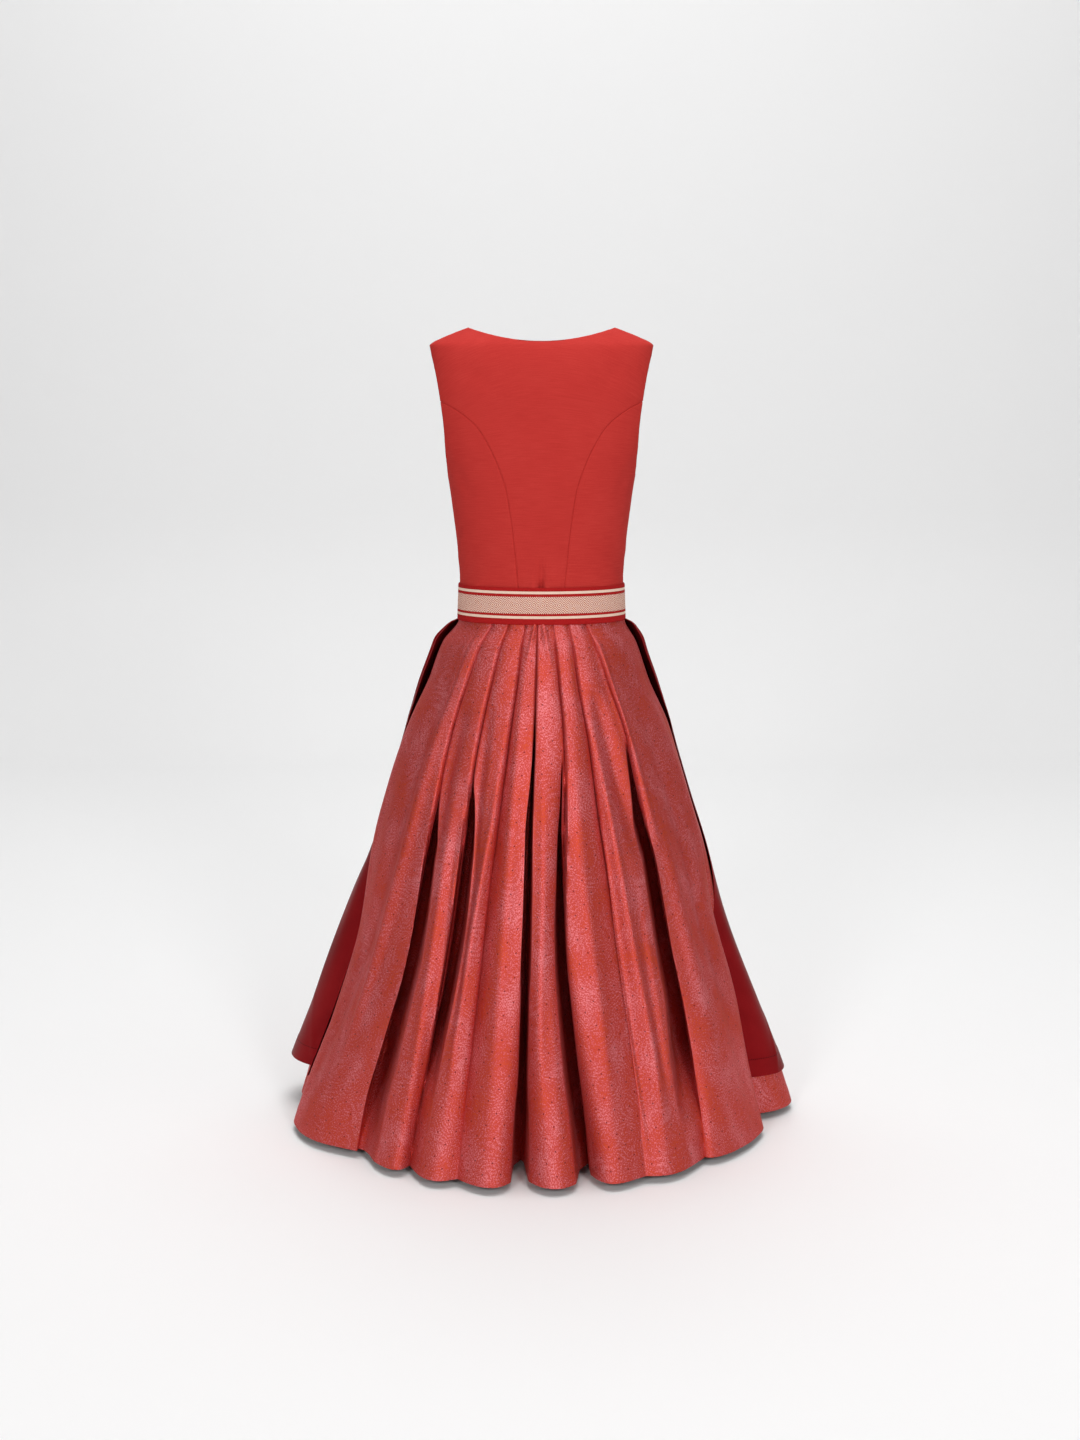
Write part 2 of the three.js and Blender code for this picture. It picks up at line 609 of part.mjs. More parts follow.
function addBodice() {
  const backSeam = seamLine(BACK_SEAM, BACK_SEAM_TOP_Z, false);
  const frontSeam = seamLine(FRONT_SEAM, FRONT_SEAM_TOP_Z, true);

  // The back is one piece: its right half, mirrored, runs on into its left half.
  const half = backHalf(backSeam);
  const backSides = { start: false, end: true, bottom: true, top: true };
  const left = panelWall(half, 1, backSides);
  const right = panelWall(half, -1, backSides);
  const joined = (key) =>
    left[key].map((row, r) => [...[...right[key][r]].reverse(), ...row.slice(1)]);
  const back = { outer: joined("outer"), inner: joined("inner") };
  dirndl.add(bodiceMesh("bodice_back", back, true));

  const front = frontHalf(frontSeam);
  const sideBack = sideGrid(false, backSeam);
  const sideFront = sideGrid(true, frontSeam);
  const allSides = { start: true, end: true, bottom: true, top: true };
  const openTop = { start: true, end: true, bottom: true, top: false };
  for (const [word, side] of [["left", 1], ["right", -1]]) {
    const isLeft = side === 1;
    const add = (name, pattern, sides, growing) => {
      const wall = panelWall(pattern, side, sides);
      dirndl.add(bodiceMesh(`${name}_${word}`, wall, growing));
    };
    add("bodice_side_back", sideBack, openTop, isLeft);
    add("bodice_side_front", sideFront, openTop, !isLeft);
    add("bodice_front", front, allSides, !isLeft);
  }
}

// ---- the skirt ----
// The turns at one height of the hollows and of several places across each fold, three times
// round. A tag is the same for one place at every height.
function skirtTurns(z) {
  const turns = [];
  const count = HOLLOWS.length;
  for (let lap = -1; lap <= 1; lap++) {
    for (let i = 0; i < count; i++) {
      const next = (i + 1) % count;
      const start = hollowTurn(HOLLOWS[i], z) + lap * 360;
      const end = hollowTurn(HOLLOWS[next], z) + lap * 360 + (next === 0 ? 360 : 0);
      const shares = i < CENTRE_HOLLOW ? FOLD_SHARES : mirrored(FOLD_SHARES);
      shares.forEach((share, k) => {
        turns.push({ turn: mix(start, end, share), tag: (lap * count + i) * 10 + k });
      });
    }
  }
  return turns;
}

const mirrored = (shares) => [0, ...shares.slice(1).map((s) => 1 - s).reverse()];

function skirtMesh(name, from, to) {
  // The same columns are used at every height: those that nowhere come too near a side seam.
  const heights = [...SKIRT_HEIGHTS].reverse();
  const kept = new Set(skirtTurns(WAIST_Z).map((t) => t.tag));
  for (const z of heights) {
    for (const t of skirtTurns(z)) {
      if (t.turn < from + CLEAR_OF_SEAM || t.turn > to - CLEAR_OF_SEAM) kept.delete(t.tag);
    }
  }
  const sheet = (inset) =>
    heights.map((z) => {
      const inside = skirtTurns(z).filter((t) => kept.has(t.tag));
      const seam = (SEAM_GAP / 2 / along(SKIRT, z, "left")) * (180 / Math.PI);
      const turns = [from + seam, ...inside.map((t) => t.turn), to - seam];
      const level = z === WAIST_Z ? WAIST_Z - SEAM_GAP / 2 : z;
      return turns.map((turn) => {
        const point = skirtAt(turn, level);
        return inset ? outwards(point, -wallDepth(turn, level)) : point;
      });
    });
  return named(name, wallOf(sheet(false), sheet(true)), skirtCloth);
}

// The cloth's thickness measured towards the axis, which is more where the wall is steep.
function wallDepth(turn, z) {
  const step = 0.4;
  const before = skirtAt(turn - step, z);
  const after = skirtAt(turn + step, z);
  const rise = Math.hypot(after.x, after.y) - Math.hypot(before.x, before.y);
  const run = after.distanceTo(before);
  const steepness = run / Math.sqrt(Math.max(run * run - rise * rise, 1e-6));
  return SKIRT_CLOTH * clamp(steepness, 1, STEEPEST);
}

function addSkirt() {
  dirndl.add(skirtMesh("skirt_back", -90, 90));
  dirndl.add(skirtMesh("skirt_front", 90, 270));
}

// ---- the apron and its band ----
function apronShares() {
  const shares = [];
  for (let k = 0; k < APRON_ACROSS; k++) {
    const nearEdge = Math.min(k, APRON_ACROSS - 1 - k) < APRON_FINE.columns;
    const parts = nearEdge ? APRON_FINE.parts : 1;
    for (let i = 0; i < parts; i++) shares.push((k + i / parts) / APRON_ACROSS);
  }
  return [...shares, 1];
}

function addApron() {
  const heights = [...APRON_HEIGHTS].reverse();
  const shares = apronShares();
  const sheet = (inset) =>
    heights.map((z) => shares.map((u) => outwards(apronAt(u, z), inset ? -APRON_CLOTH : 0)));
  dirndl.add(named("apron_panel", wallOf(sheet(false), sheet(true)), apronCloth));
}

// The band hugs the bodice above and passes over the skirt and the apron below.
function bandPoint(turn, z, off) {
  const up = smooth(BAND_BOTTOM_Z, BAND_TOP_Z, z);
  const halfWidth = mix(BAND_INSIDE.bottom.halfWidth, BAND_INSIDE.top.halfWidth, up);
  const back = mix(BAND_INSIDE.bottom.back, BAND_INSIDE.top.back, up);
  const front = mix(BAND_INSIDE.bottom.front, BAND_INSIDE.top.front, up);
  const depth = Math.cos(degrees(turn)) < 0 ? front : back;
  const x = halfWidth * Math.sin(degrees(turn));
  const y = depth * Math.cos(degrees(turn));
  return outwards(new THREE.Vector3(x, y, z), off);
}

function addBand() {
  const lapTurn = (BAND_LAP / BAND_FRONT_RADIUS) * (180 / Math.PI);
  const lapEnd = BAND_END_TURN + lapTurn;
  const turns = Array.from({ length: BAND_STEPS + 1 }, (_, k) =>
    mix(BAND_END_TURN - 360, lapEnd, k / BAND_STEPS),
  );
  const lift = (turn) => BAND_LAP_RISE * smooth(BAND_END_TURN - BAND_RAMP_TURN, BAND_END_TURN, turn);
  const heights = [BAND_BOTTOM_Z, (BAND_BOTTOM_Z + BAND_TOP_Z) / 2, BAND_TOP_Z];
  const sheet = (off) =>
    heights.map((z) => turns.map((turn) => bandPoint(turn, z, off + lift(turn))));
  dirndl.add(named("apron_band", wallOf(sheet(BAND_CLOTH), sheet(0)), bandCloth));
}

addBodice();
addSkirt();
addApron();
addBand();

export default dirndl;
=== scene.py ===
"""A sleeveless dirndl with its apron, filled out as it is worn, with nobody in it."""

import math

import bpy
import numpy as np
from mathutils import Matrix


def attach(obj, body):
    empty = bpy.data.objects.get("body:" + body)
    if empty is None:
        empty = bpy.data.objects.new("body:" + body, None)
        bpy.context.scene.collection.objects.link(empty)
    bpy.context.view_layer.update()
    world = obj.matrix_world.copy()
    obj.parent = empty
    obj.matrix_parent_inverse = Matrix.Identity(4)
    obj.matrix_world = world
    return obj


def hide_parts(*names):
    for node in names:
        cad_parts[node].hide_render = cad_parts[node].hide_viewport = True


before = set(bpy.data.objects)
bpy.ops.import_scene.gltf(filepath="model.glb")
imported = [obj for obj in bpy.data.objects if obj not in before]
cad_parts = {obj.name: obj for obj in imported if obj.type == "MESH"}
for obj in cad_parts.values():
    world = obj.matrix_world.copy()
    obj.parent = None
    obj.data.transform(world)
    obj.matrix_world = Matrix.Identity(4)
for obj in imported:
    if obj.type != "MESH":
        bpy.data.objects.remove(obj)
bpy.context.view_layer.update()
bpy.ops.object.select_all(action="DESELECT")

# ---- the bodice ----
# Seven panels of plain coral-red cloth with a thick weft thread here and there, cut to the figure
# and joined by curved seams, shoulder seams and side seams. Neck and armholes are turned edges,
# with a narrow strip along them painted darker as shade.
NECK_HALF_WIDTH = 0.1075
SHOULDER_TIP_Z = -0.027
UNDERARM_Z = -0.217
WAIST_Z = -0.404
BACK_NECK_DROP = 0.021
FRONT_NECK_DROP = 0.165
ARMHOLE_CUT = {"back": 25, "front": 28}
ARMHOLE_ROUNDNESS = 0.6
ARMHOLE_SKEW = 0.85
TORSO = {
    "z": [0, -0.008, -0.016, -0.022, -0.027, -0.038, -0.060, -0.106, -0.150, -0.180, -0.217,
          -0.265, -0.330, -0.372, -0.404],
    "half_width": [0.1075, 0.1285, 0.1475, 0.160, 0.165, 0.1645, 0.163, 0.1605, 0.155, 0.1495,
                   0.1395, 0.1325, 0.125, 0.1225, 0.1225],
    "back": [0.014, 0.034, 0.050, 0.059, 0.065, 0.072, 0.081, 0.092, 0.097, 0.099, 0.099, 0.096,
             0.091, 0.0895, 0.090],
    "front": [0.014, 0.032, 0.044, 0.051, 0.055, 0.061, 0.072, 0.090, 0.103, 0.111, 0.117, 0.116,
              0.103, 0.096, 0.0935],
    "square": [2.0, 2.05, 2.1, 2.15, 2.2, 2.25, 2.3, 2.4, 2.45, 2.45, 2.4, 2.3, 2.15, 2.0, 2.0],
}
BUST = {"x": 0.084, "z": -0.258, "rise": 0.013, "across": 0.050, "up": 0.052, "fade": 0.35}
SEAM = {
    "back": {
        "x": [0.034, 0.035, 0.042, 0.050, 0.059, 0.075, 0.096, 0.124],
        "z": [-0.404, -0.372, -0.298, -0.242, -0.211, -0.175, -0.143, -0.121],
        "top_z": -0.108,
    },
    "front": {
        "x": [0.050, 0.060, 0.080, 0.092, 0.112, 0.132],
        "z": [-0.404, -0.350, -0.275, -0.215, -0.160, -0.136],
        "top_z": -0.122,
    },
}
SEAM_ROWS = 60
ARMHOLE_ROWS = 40
OPENING_ROWS = 34
NECK_COLUMNS = 40
SHOULDER_COLUMNS = 16
FRONT_ACROSS = 42
SIDE_ACROSS = 30
SEAM_GAP = 0.0003
SEAM_SINK = 0.0013  # how far the cloth dips into a seam or turns over at an edge
SEAM_REACH = 0.0024  # the width over which it does so
PAINTED_SHADE_EDGE = 0.0034  # the depth of the strip at the neck and the armholes painted darker, as painted shade where the turned edge rolls away
PUCKER = {"rise": 0.00022, "waves": (0.0023, 0.0061), "shift": 1.3, "reach": 0.006}
BODICE_CLOTH = 0.0013
FULL_WAVE = 6.2832  # a whole turn in radians, from one thread of a weave to the next

# Soft troughs (negative) and ridges: the turns and heights of a line, its half width, its rise.
BODICE_CREASES = [
    ([(1.5, -0.430), (-0.5, -0.335)], 0.0042, -0.0036),
    ([(-4.5, -0.430), (-3.5, -0.350)], 0.0048, 0.0022),
    ([(7.5, -0.430), (5.0, -0.356)], 0.0048, 0.0020),
    ([(0.8, -0.398), (0.2, -0.366)], 0.0026, -0.0032),
    ([(66, -0.400), (46, -0.368), (30, -0.350)], 0.0075, 0.0016),
    ([(76, -0.376), (56, -0.340), (38, -0.318)], 0.0080, -0.0014),
    ([(-64, -0.402), (-46, -0.374), (-32, -0.358)], 0.0070, 0.0015),
    ([(-80, -0.370), (-62, -0.340), (-42, -0.324)], 0.0080, -0.0015),
    ([(86, -0.350), (70, -0.316), (56, -0.300)], 0.0090, 0.0014),
    ([(-88, -0.336), (-70, -0.300), (-58, -0.288)], 0.0090, 0.0013),
    ([(70, -0.186), (56, -0.214), (44, -0.250)], 0.0085, -0.0013),
    ([(-72, -0.180), (-60, -0.212), (-48, -0.252)], 0.0085, -0.0012),
    ([(46, -0.046), (30, -0.074), (18, -0.100)], 0.0110, -0.0011),
    ([(-48, -0.044), (-34, -0.076), (-22, -0.108)], 0.0110, -0.0011),
    ([(100, -0.398), (122, -0.366), (144, -0.350)], 0.0075, 0.0015),
    ([(-100, -0.394), (-124, -0.360), (-146, -0.342)], 0.0075, 0.0014),
    ([(94, -0.358), (114, -0.318), (132, -0.302)], 0.0090, -0.0014),
    ([(-96, -0.352), (-114, -0.312), (-130, -0.296)], 0.0090, -0.0015),
    ([(110, -0.190), (122, -0.214), (134, -0.236)], 0.0080, -0.0016),
    ([(-111, -0.186), (-124, -0.212), (-136, -0.234)], 0.0080, -0.0014),
    ([(176, -0.410), (168, -0.320)], 0.0070, 0.0012),
    ([(184, -0.300), (196, -0.276), (207, -0.262)], 0.0080, -0.0010),
]


def smooth(start, end, value):
    t = np.clip((value - start) / (end - start), 0, 1)
    return t * t * (3 - 2 * t)


def mix(a, b, t):
    return a + (b - a) * t


def along(table, z, column):
    """A column of a table at heights z, on a curve through its rows that never overshoots them."""
    heights = np.array(table["z"], float)[::-1]
    values = np.array(table[column], float)[::-1]
    slopes = np.diff(values) / np.diff(heights)
    before, after = slopes[:-1], slopes[1:]
    turning = before * after <= 0
    middle = np.where(turning, 0, 2 * before * after / np.where(turning, 1, before + after))
    tangents = np.concatenate([slopes[:1], middle, slopes[-1:]])
    z = np.clip(z, heights[0], heights[-1])
    i = np.clip(np.searchsorted(heights, z, side="right") - 1, 0, len(slopes) - 1)
    span = heights[i + 1] - heights[i]
    t = (z - heights[i]) / span
    low = (1 + 2 * t) * (1 - t) ** 2 * values[i] + t * (1 - t) ** 2 * span * tangents[i]
    high = t * t * (3 - 2 * t) * values[i + 1] + t * t * (t - 1) * span * tangents[i + 1]
    return low + high


def torso_at(turn, z):
    """The torso's surface. The turn goes from the centre back (0) by the left side (90)."""
    angle = np.radians(turn)
    power = 2 / along(TORSO, z, "square")
    forward = np.cos(angle) < 0
    depth = np.where(forward, along(TORSO, z, "front"), along(TORSO, z, "back"))
    x = along(TORSO, z, "half_width") * np.sign(np.sin(angle)) * np.abs(np.sin(angle)) ** power
    y = depth * np.sign(np.cos(angle)) * np.abs(np.cos(angle)) ** power
    beside = (np.abs(x) - BUST["x"]) / BUST["across"]
    above = (z - BUST["z"]) / BUST["up"]
    fade = smooth(0, BUST["fade"], -np.cos(angle))
    y = y - BUST["rise"] * fade * np.exp(-(beside**2) - above**2)
    return np.stack([x, y, z + 0 * x], axis=-1)


def turn_of(x, z, side):
    """The turn at which the torso is x wide, on its back or its front."""
    share = np.clip(x / along(TORSO, z, "half_width"), 0, 1)
    turn = np.degrees(np.arcsin(share ** (along(TORSO, z, "square") / 2)))
    return turn if side == "back" else 180 - turn


def spaced(turn, z, count):
    """Places evenly spaced in length along a line on the torso, as turns and heights."""
    steps = np.linalg.norm(np.diff(torso_at(turn, z), axis=0), axis=1)
    lengths = np.concatenate([[0], np.cumsum(steps)])
    wanted = np.linspace(0, lengths[-1], count + 1)
    return np.stack([np.interp(wanted, lengths, turn), np.interp(wanted, lengths, z)], axis=-1)


def armhole_turn(z, side):
    t = np.clip((z - UNDERARM_Z) / (SHOULDER_TIP_Z - UNDERARM_Z), 0, 1)
    bow = np.maximum(0, np.sin(np.pi * t**ARMHOLE_SKEW)) ** ARMHOLE_ROUNDNESS
    cut = bow * ARMHOLE_CUT[side]
    return 90 - cut if side == "back" else 90 + cut


def armhole_line(low, high, side, count):
    z = mix(low, high, 0.5 - 0.5 * np.cos(np.linspace(0, np.pi, 400)))
    return spaced(armhole_turn(z, side), z, count)


def seam_line(side):
    """The curved seam between a centre panel and a side panel, up to the armhole."""
    seam = SEAM[side]
    end_turn = armhole_turn(seam["top_z"], side)
    tip = torso_at(end_turn, seam["top_z"])
    knots = np.array([*zip(seam["x"], seam["z"]), (tip[0], seam["top_z"])])
    before = np.vstack([2 * knots[0] - knots[1], knots[:-1]])
    after = np.vstack([knots[1:], 2 * knots[-1] - knots[-2]])
    points = [knots[:1]]
    for k in range(len(knots) - 1):
        t = np.linspace(0, 1, 24)[1:, None]
        start, end = knots[k], knots[k + 1]
        leave = (end - before[k]) / 2
        arrive = (after[k + 1] - start) / 2
        points.append(
            (1 + 2 * t) * (1 - t) ** 2 * start
            + t * (1 - t) ** 2 * leave
            + t * t * (3 - 2 * t) * end
            + t * t * (t - 1) * arrive
        )
    x, z = np.vstack(points).T
    turn = turn_of(x, z, side)
    turn[-1] = end_turn
    return spaced(turn, z, SEAM_ROWS)


def neck_line(side, count):
    out = np.sin(np.linspace(0, np.pi / 2, 400))
    if side == "front":
        z = -FRONT_NECK_DROP * np.maximum(0, 1 - out**2.2) ** (1 / 2.6)
    else:
        z = -BACK_NECK_DROP * (1 - out**2)
    turn = turn_of(NECK_HALF_WIDTH * out, z, side)
    turn[-1] = 90
    return spaced(turn, z, count)


def patch(bottom, top, start, end):
    """A grid of places between four edges, as high up as the places of its end edge."""
    up = ((end[:, 1] - end[0, 1]) / (end[-1, 1] - end[0, 1]))[:, None, None]
    over = np.linspace(0, 1, len(bottom))[None, :, None]
    sides = mix(start[:, None], end[:, None], over)
    ends = mix(bottom[None], top[None], up)
    corners = mix(mix(start[0], end[0], over), mix(start[-1], end[-1], over), up)
    return sides + ends - corners


def straight(start, end, count):
    return mix(np.array(start), np.array(end), np.linspace(0, 1, count + 1)[:, None])


def seen_flat(line):
    """A line's turns as widths, so that a centre panel is laid out as it looks from behind."""
    return np.stack([torso_at(line[:, 0], line[:, 1])[:, 0], line[:, 1]], axis=-1)


def centre_panel(side, seam):
    outer = np.vstack([seam, armhole_line(seam[-1, 1], SHOULDER_TIP_Z, side, ARMHOLE_ROWS)[1:]])
    if side == "back":
        neck = neck_line(side, NECK_COLUMNS)
        top = np.vstack([neck, straight(neck[-1], outer[-1], SHOULDER_COLUMNS)[1:]])
        up = (outer[:, 1] - WAIST_Z) / (outer[-1, 1] - WAIST_Z)
        inner = np.stack([0 * up, mix(WAIST_Z, neck[0, 1], up)], axis=-1)
    else:
        neck = neck_line(side, SEAM_ROWS + ARMHOLE_ROWS - OPENING_ROWS)
        inner = np.vstack([straight((180, WAIST_Z), neck[0], OPENING_ROWS), neck[1:]])
        top = straight(inner[-1], outer[-1], FRONT_ACROSS)
    bottom = straight(inner[0], outer[0], len(top) - 1)
    grid = patch(*(seen_flat(line) for line in (bottom, top, inner, outer)))
    return np.stack([turn_of(grid[..., 0], grid[..., 1], side), grid[..., 1]], axis=-1)


def side_panel(side, seam):
    side_seam = straight((90, WAIST_Z), (90, UNDERARM_Z), SEAM_ROWS)
    top = armhole_line(seam[-1, 1], UNDERARM_Z, side, SIDE_ACROSS)
    bottom = straight(seam[0], side_seam[0], SIDE_ACROSS)
    return patch(bottom, top, seam, side_seam)


def fine_edged(grid):
    """The grid with three more rows or columns just inside each of its edges."""
    for axis in (0, 1):
        count = grid.shape[axis]
        extra = [0.14, 0.34, 0.62]
        at = np.array(sorted([*range(count), *extra, *(count - 1 - e for e in extra)]))
        low = np.minimum(at.astype(int), count - 2)
        t = (at - low)[:, None, None] if axis == 0 else (at - low)[None, :, None]
        grid = mix(np.take(grid, low, axis), np.take(grid, low + 1, axis), t)
    return grid


def sheet_normals(points):
    across = np.gradient(points, axis=1)
    up = np.gradient(points, axis=0)
    normals = np.cross(across, up)
    length = np.linalg.norm(normals, axis=-1, keepdims=True)
    return normals / np.maximum(length, 1e-12)


def edge_distances(points):
    """How far each point of a sheet is from its start, end, bottom and top edges."""
    run = np.linalg.norm(np.diff(points, axis=1), axis=-1)
    rise = np.linalg.norm(np.diff(points, axis=0), axis=-1)
    across = np.concatenate([np.zeros((len(points), 1)), np.cumsum(run, axis=1)], axis=1)
    up = np.concatenate([np.zeros((1, points.shape[1])), np.cumsum(rise, axis=0)], axis=0)
    return across, across[:, -1:] - across, up, up[-1:] - up


def creased(turn, z, creases, place):
    """The sum of a table's soft troughs and ridges, each fading at its ends and its sides."""
    here = place(turn, z)
    total = np.zeros(here.shape[:-1])
    for line, half_width, rise in creases:
        knots = place(*np.array(line, float).T)
        lengths = np.linalg.norm(np.diff(knots, axis=0), axis=1)
        nearest = np.full(total.shape, np.inf)
        along_line = np.zeros(total.shape)
        for k, length in enumerate(lengths):
            step = knots[k + 1] - knots[k]
            t = np.clip(((here - knots[k]) @ step) / length**2, 0, 1)
            away = np.linalg.norm(here - (knots[k] + t[..., None] * step), axis=-1)
            closer = away < nearest
            nearest = np.where(closer, away, nearest)
            at = (lengths[:k].sum() + t * length) / lengths.sum()
            along_line = np.where(closer, at, along_line)
        fade = (4 * along_line * (1 - along_line)) ** 0.7
        total += rise * fade * np.exp(-((nearest / half_width) ** 2))
    return total


def cloth_sheet(name, points, flat, thickness, finishes, painted_shade_mask=None):
    """A sheet cut out flat as a grid, moved to its place, and given its thickness inwards.

    Rows go up and columns go by shrinking turn, so that its right side faces out. The finishes
    are the right side's and the wrong side's, then those of the faces that get painted shade."""
    rows, columns = points.shape[:2]
    bpy.ops.mesh.primitive_grid_add(x_subdivisions=columns - 1, y_subdivisions=rows - 1)
    sheet = bpy.context.object
    sheet.name = name
    mesh = sheet.data
    mesh.vertices.foreach_set("co", points.astype(np.float32).reshape(-1))
    corners = np.empty(len(mesh.loops), np.int32)
    mesh.loops.foreach_get("vertex_index", corners)
    mesh.uv_layers[0].data.foreach_set("uv", flat.reshape(-1, 2)[corners].reshape(-1))
    for finish in finishes:
        mesh.materials.append(finish)
    if painted_shade_mask is not None:
        faces = painted_shade_mask.reshape(-1)[corners].reshape(-1, 4).all(axis=1)
        mesh.polygons.foreach_set("material_index", np.where(faces, 2, 0).astype(np.int32))
    wall = sheet.modifiers.new("wall", "SOLIDIFY")
    wall.thickness = thickness
    wall.offset = -1
    wall.material_offset = 1
    bpy.ops.object.modifier_apply(modifier="wall")
    bpy.ops.object.shade_smooth_by_angle(angle=math.radians(60))
    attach(sheet, "root")
    return sheet


def colour(red, green, blue):
    """A colour from its screen values, 0 to 255."""
    screen = np.array([red, green, blue]) / 255
    light = np.where(screen <= 0.04045, screen / 12.92, ((screen + 0.055) / 1.055) ** 2.4)
    return (*light, 1)


def new_finish(name, roughness, specular):
    """A new material, with its node tree and its shader."""
    material = bpy.data.materials.new(name)
    material.use_nodes = True
    shader = material.node_tree.nodes["Principled BSDF"]
    shader.inputs["Roughness"].default_value = roughness
    shader.inputs["Specular IOR Level"].default_value = specular
    return material, material.node_tree, shader


def flat_cloth(tree, stretch):
    """The cloth's own flat place, in metres times a stretch across and along."""
    place = tree.nodes.new("ShaderNodeUVMap")
    scale = tree.nodes.new("ShaderNodeMapping")
    scale.inputs["Scale"].default_value = (*stretch, 1)
    tree.links.new(place.outputs["UV"], scale.inputs["Vector"])
    return scale.outputs["Vector"]


def across_and_along(tree, stretch=(1, 1)):
    parts = tree.nodes.new("ShaderNodeSeparateXYZ")
    tree.links.new(flat_cloth(tree, stretch), parts.inputs[0])
    return parts.outputs[0], parts.outputs[1]


def noise(tree, stretch, detail, rough):
    """Soft random spots, so many to a metre across and along."""
    texture = tree.nodes.new("ShaderNodeTexNoise")
    texture.inputs["Scale"].default_value = 1
    texture.inputs["Detail"].default_value = detail
    texture.inputs["Roughness"].default_value = rough
    tree.links.new(flat_cloth(tree, stretch), texture.inputs["Vector"])
    return texture.outputs["Fac"]


def ramp(tree, value, stops):
    """Colours at places along a value from 0 to 1."""
    band = tree.nodes.new("ShaderNodeValToRGB")
    band.color_ramp.elements[0].position, band.color_ramp.elements[0].color = stops[0]
    band.color_ramp.elements[1].position, band.color_ramp.elements[1].color = stops[-1]
    for position, shade in stops[1:-1]:
        band.color_ramp.elements.new(position).color = shade
    tree.links.new(value, band.inputs["Fac"])
    return band.outputs["Color"]


def arithmetic(tree, operation, first, second=None):
    node = tree.nodes.new("ShaderNodeMath")
    node.operation = operation
    for socket, value in zip(node.inputs, (first, second)):
        if value is None:
            continue
        if isinstance(value, (int, float)):
            socket.default_value = value
        else:
            tree.links.new(value, socket)
    return node.outputs[0]


def weighed(tree, *shares):
    """The sum of values, each times its weight."""
    parts = [arithmetic(tree, "MULTIPLY", value, weight) for value, weight in shares]
    total = parts[0]
    for part in parts[1:]:
        total = arithmetic(tree, "ADD", total, part)
    return total


def blend(tree, amount, first, second):
    node = tree.nodes.new("ShaderNodeMix")
    node.data_type = "RGBA"
    tree.links.new(amount, node.inputs[0])
    for socket, value in ((node.inputs[6], first), (node.inputs[7], second)):
        if isinstance(value, tuple):
            socket.default_value = value
        else:
            tree.links.new(value, socket)
    return node.outputs[2]


def relief(tree, shader, height, distance, strength):
    bump = tree.nodes.new("ShaderNodeBump")
    bump.inputs["Distance"].default_value = distance
    bump.inputs["Strength"].default_value = strength
    tree.links.new(height, bump.inputs["Height"])
    tree.links.new(bump.outputs["Normal"], shader.inputs["Normal"])


def weave(tree, pitch_across, pitch_along):
    """The height of a plain weave: threads across, threads along, one over the other."""
    waves = []
    for place in across_and_along(tree, (1 / pitch_across, 1 / pitch_along)):
        turn = arithmetic(tree, "MULTIPLY", place, FULL_WAVE)
        waves.append(arithmetic(tree, "SINE", turn))
    return arithmetic(tree, "MULTIPLY", *waves)


def linen(name, low, middle, high):
    """Plain matt cloth with slubs in its weft."""
    material, tree, shader = new_finish(name, 0.9, 0.08)
    slub = noise(tree, (34, 760), 2, 0.6)
    fine = noise(tree, (420, 900), 2, 0.6)
    cloud = noise(tree, (12, 14), 2, 0.5)
    mixed = weighed(tree, (slub, 0.5), (fine, 0.3), (cloud, 0.2))
    tint = ramp(tree, mixed, [(0.34, low), (0.5, middle), (0.66, high)])
    tree.links.new(tint, shader.inputs["Base Color"])
    threads = weave(tree, 0.0009, 0.0008)
    relief(tree, shader, weighed(tree, (threads, 0.35), (slub, 1)), 0.0002, 0.5)
    return material


bodice_right_side = linen("bodice_linen", colour(182, 47, 43), colour(190, 53, 48),
                          colour(197, 60, 55))
bodice_wrong_side = linen("bodice_linen_inside", colour(158, 40, 36), colour(166, 46, 41),
                          colour(174, 53, 48))
# The edge finish is the same linen painted darker: painted shade along the turned edges.
bodice_edge_painted_shade = linen("bodice_linen_painted_shade_edge", colour(132, 28, 28), colour(142, 32, 31),
                    colour(152, 38, 36))


def bodice_panel(name, places, side, turned):
    """One panel from its grid of turns and heights. Side is 1 for the left and -1 for the right.

    Turned gives the edges that end at an opening, from what height and to what width. A strip
    along them gets a darker finish: painted shade where the turned edge rolls away."""
    places = fine_edged(places)
    turn, z = places[..., 0] * side, places[..., 1]
    points = torso_at(turn, z)
    if np.mean(np.diff(turn, axis=1)) > 0:
        points, turn, z = points[:, ::-1], turn[:, ::-1], z[:, ::-1]
        swapped = {"start": "end", "end": "start", "top": "top"}
        turned = {swapped[edge]: limits for edge, limits in turned.items()}
    normals = sheet_normals(points)
    distances = dict(zip(("start", "end", "bottom", "top"), edge_distances(points)))
    height = creased(turn, z, BODICE_CREASES, torso_at)
    for edge in ("start", "end", "top"):
        away = distances[edge]
        height = height - SEAM_SINK * (1 - np.clip(away / SEAM_REACH, 0, 1)) ** 2
        ease = np.exp(-away / PUCKER["reach"])
        along_edge = distances["bottom"] if edge in ("start", "end") else distances["start"]
        short, long = PUCKER["waves"]
        pucker = np.sin(along_edge / short) * np.sin(along_edge / long + PUCKER["shift"])
        height = height + PUCKER["rise"] * ease * pucker * smooth(0, 0.002, away)
    points = points + normals * height[..., None]
    flat = np.stack([-distances["start"] + 0.15 * side, distances["bottom"]], axis=-1)
    # The strip along each opening gets the darker finish: painted shade where the turned edge rolls
    # away.
    painted_shade_mask = np.zeros(z.shape, bool)
    for edge, (lowest, widest) in turned.items():
        opening = (z > lowest) & (np.abs(points[..., 0]) < widest)
        painted_shade_mask |= opening & (distances[edge] < PAINTED_SHADE_EDGE)
    panel = cloth_sheet(f"{name}_cloth", points, flat, BODICE_CLOTH,
                        [bodice_right_side, bodice_wrong_side, bodice_edge_painted_shade, bodice_wrong_side],
                        painted_shade_mask)
    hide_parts(name)


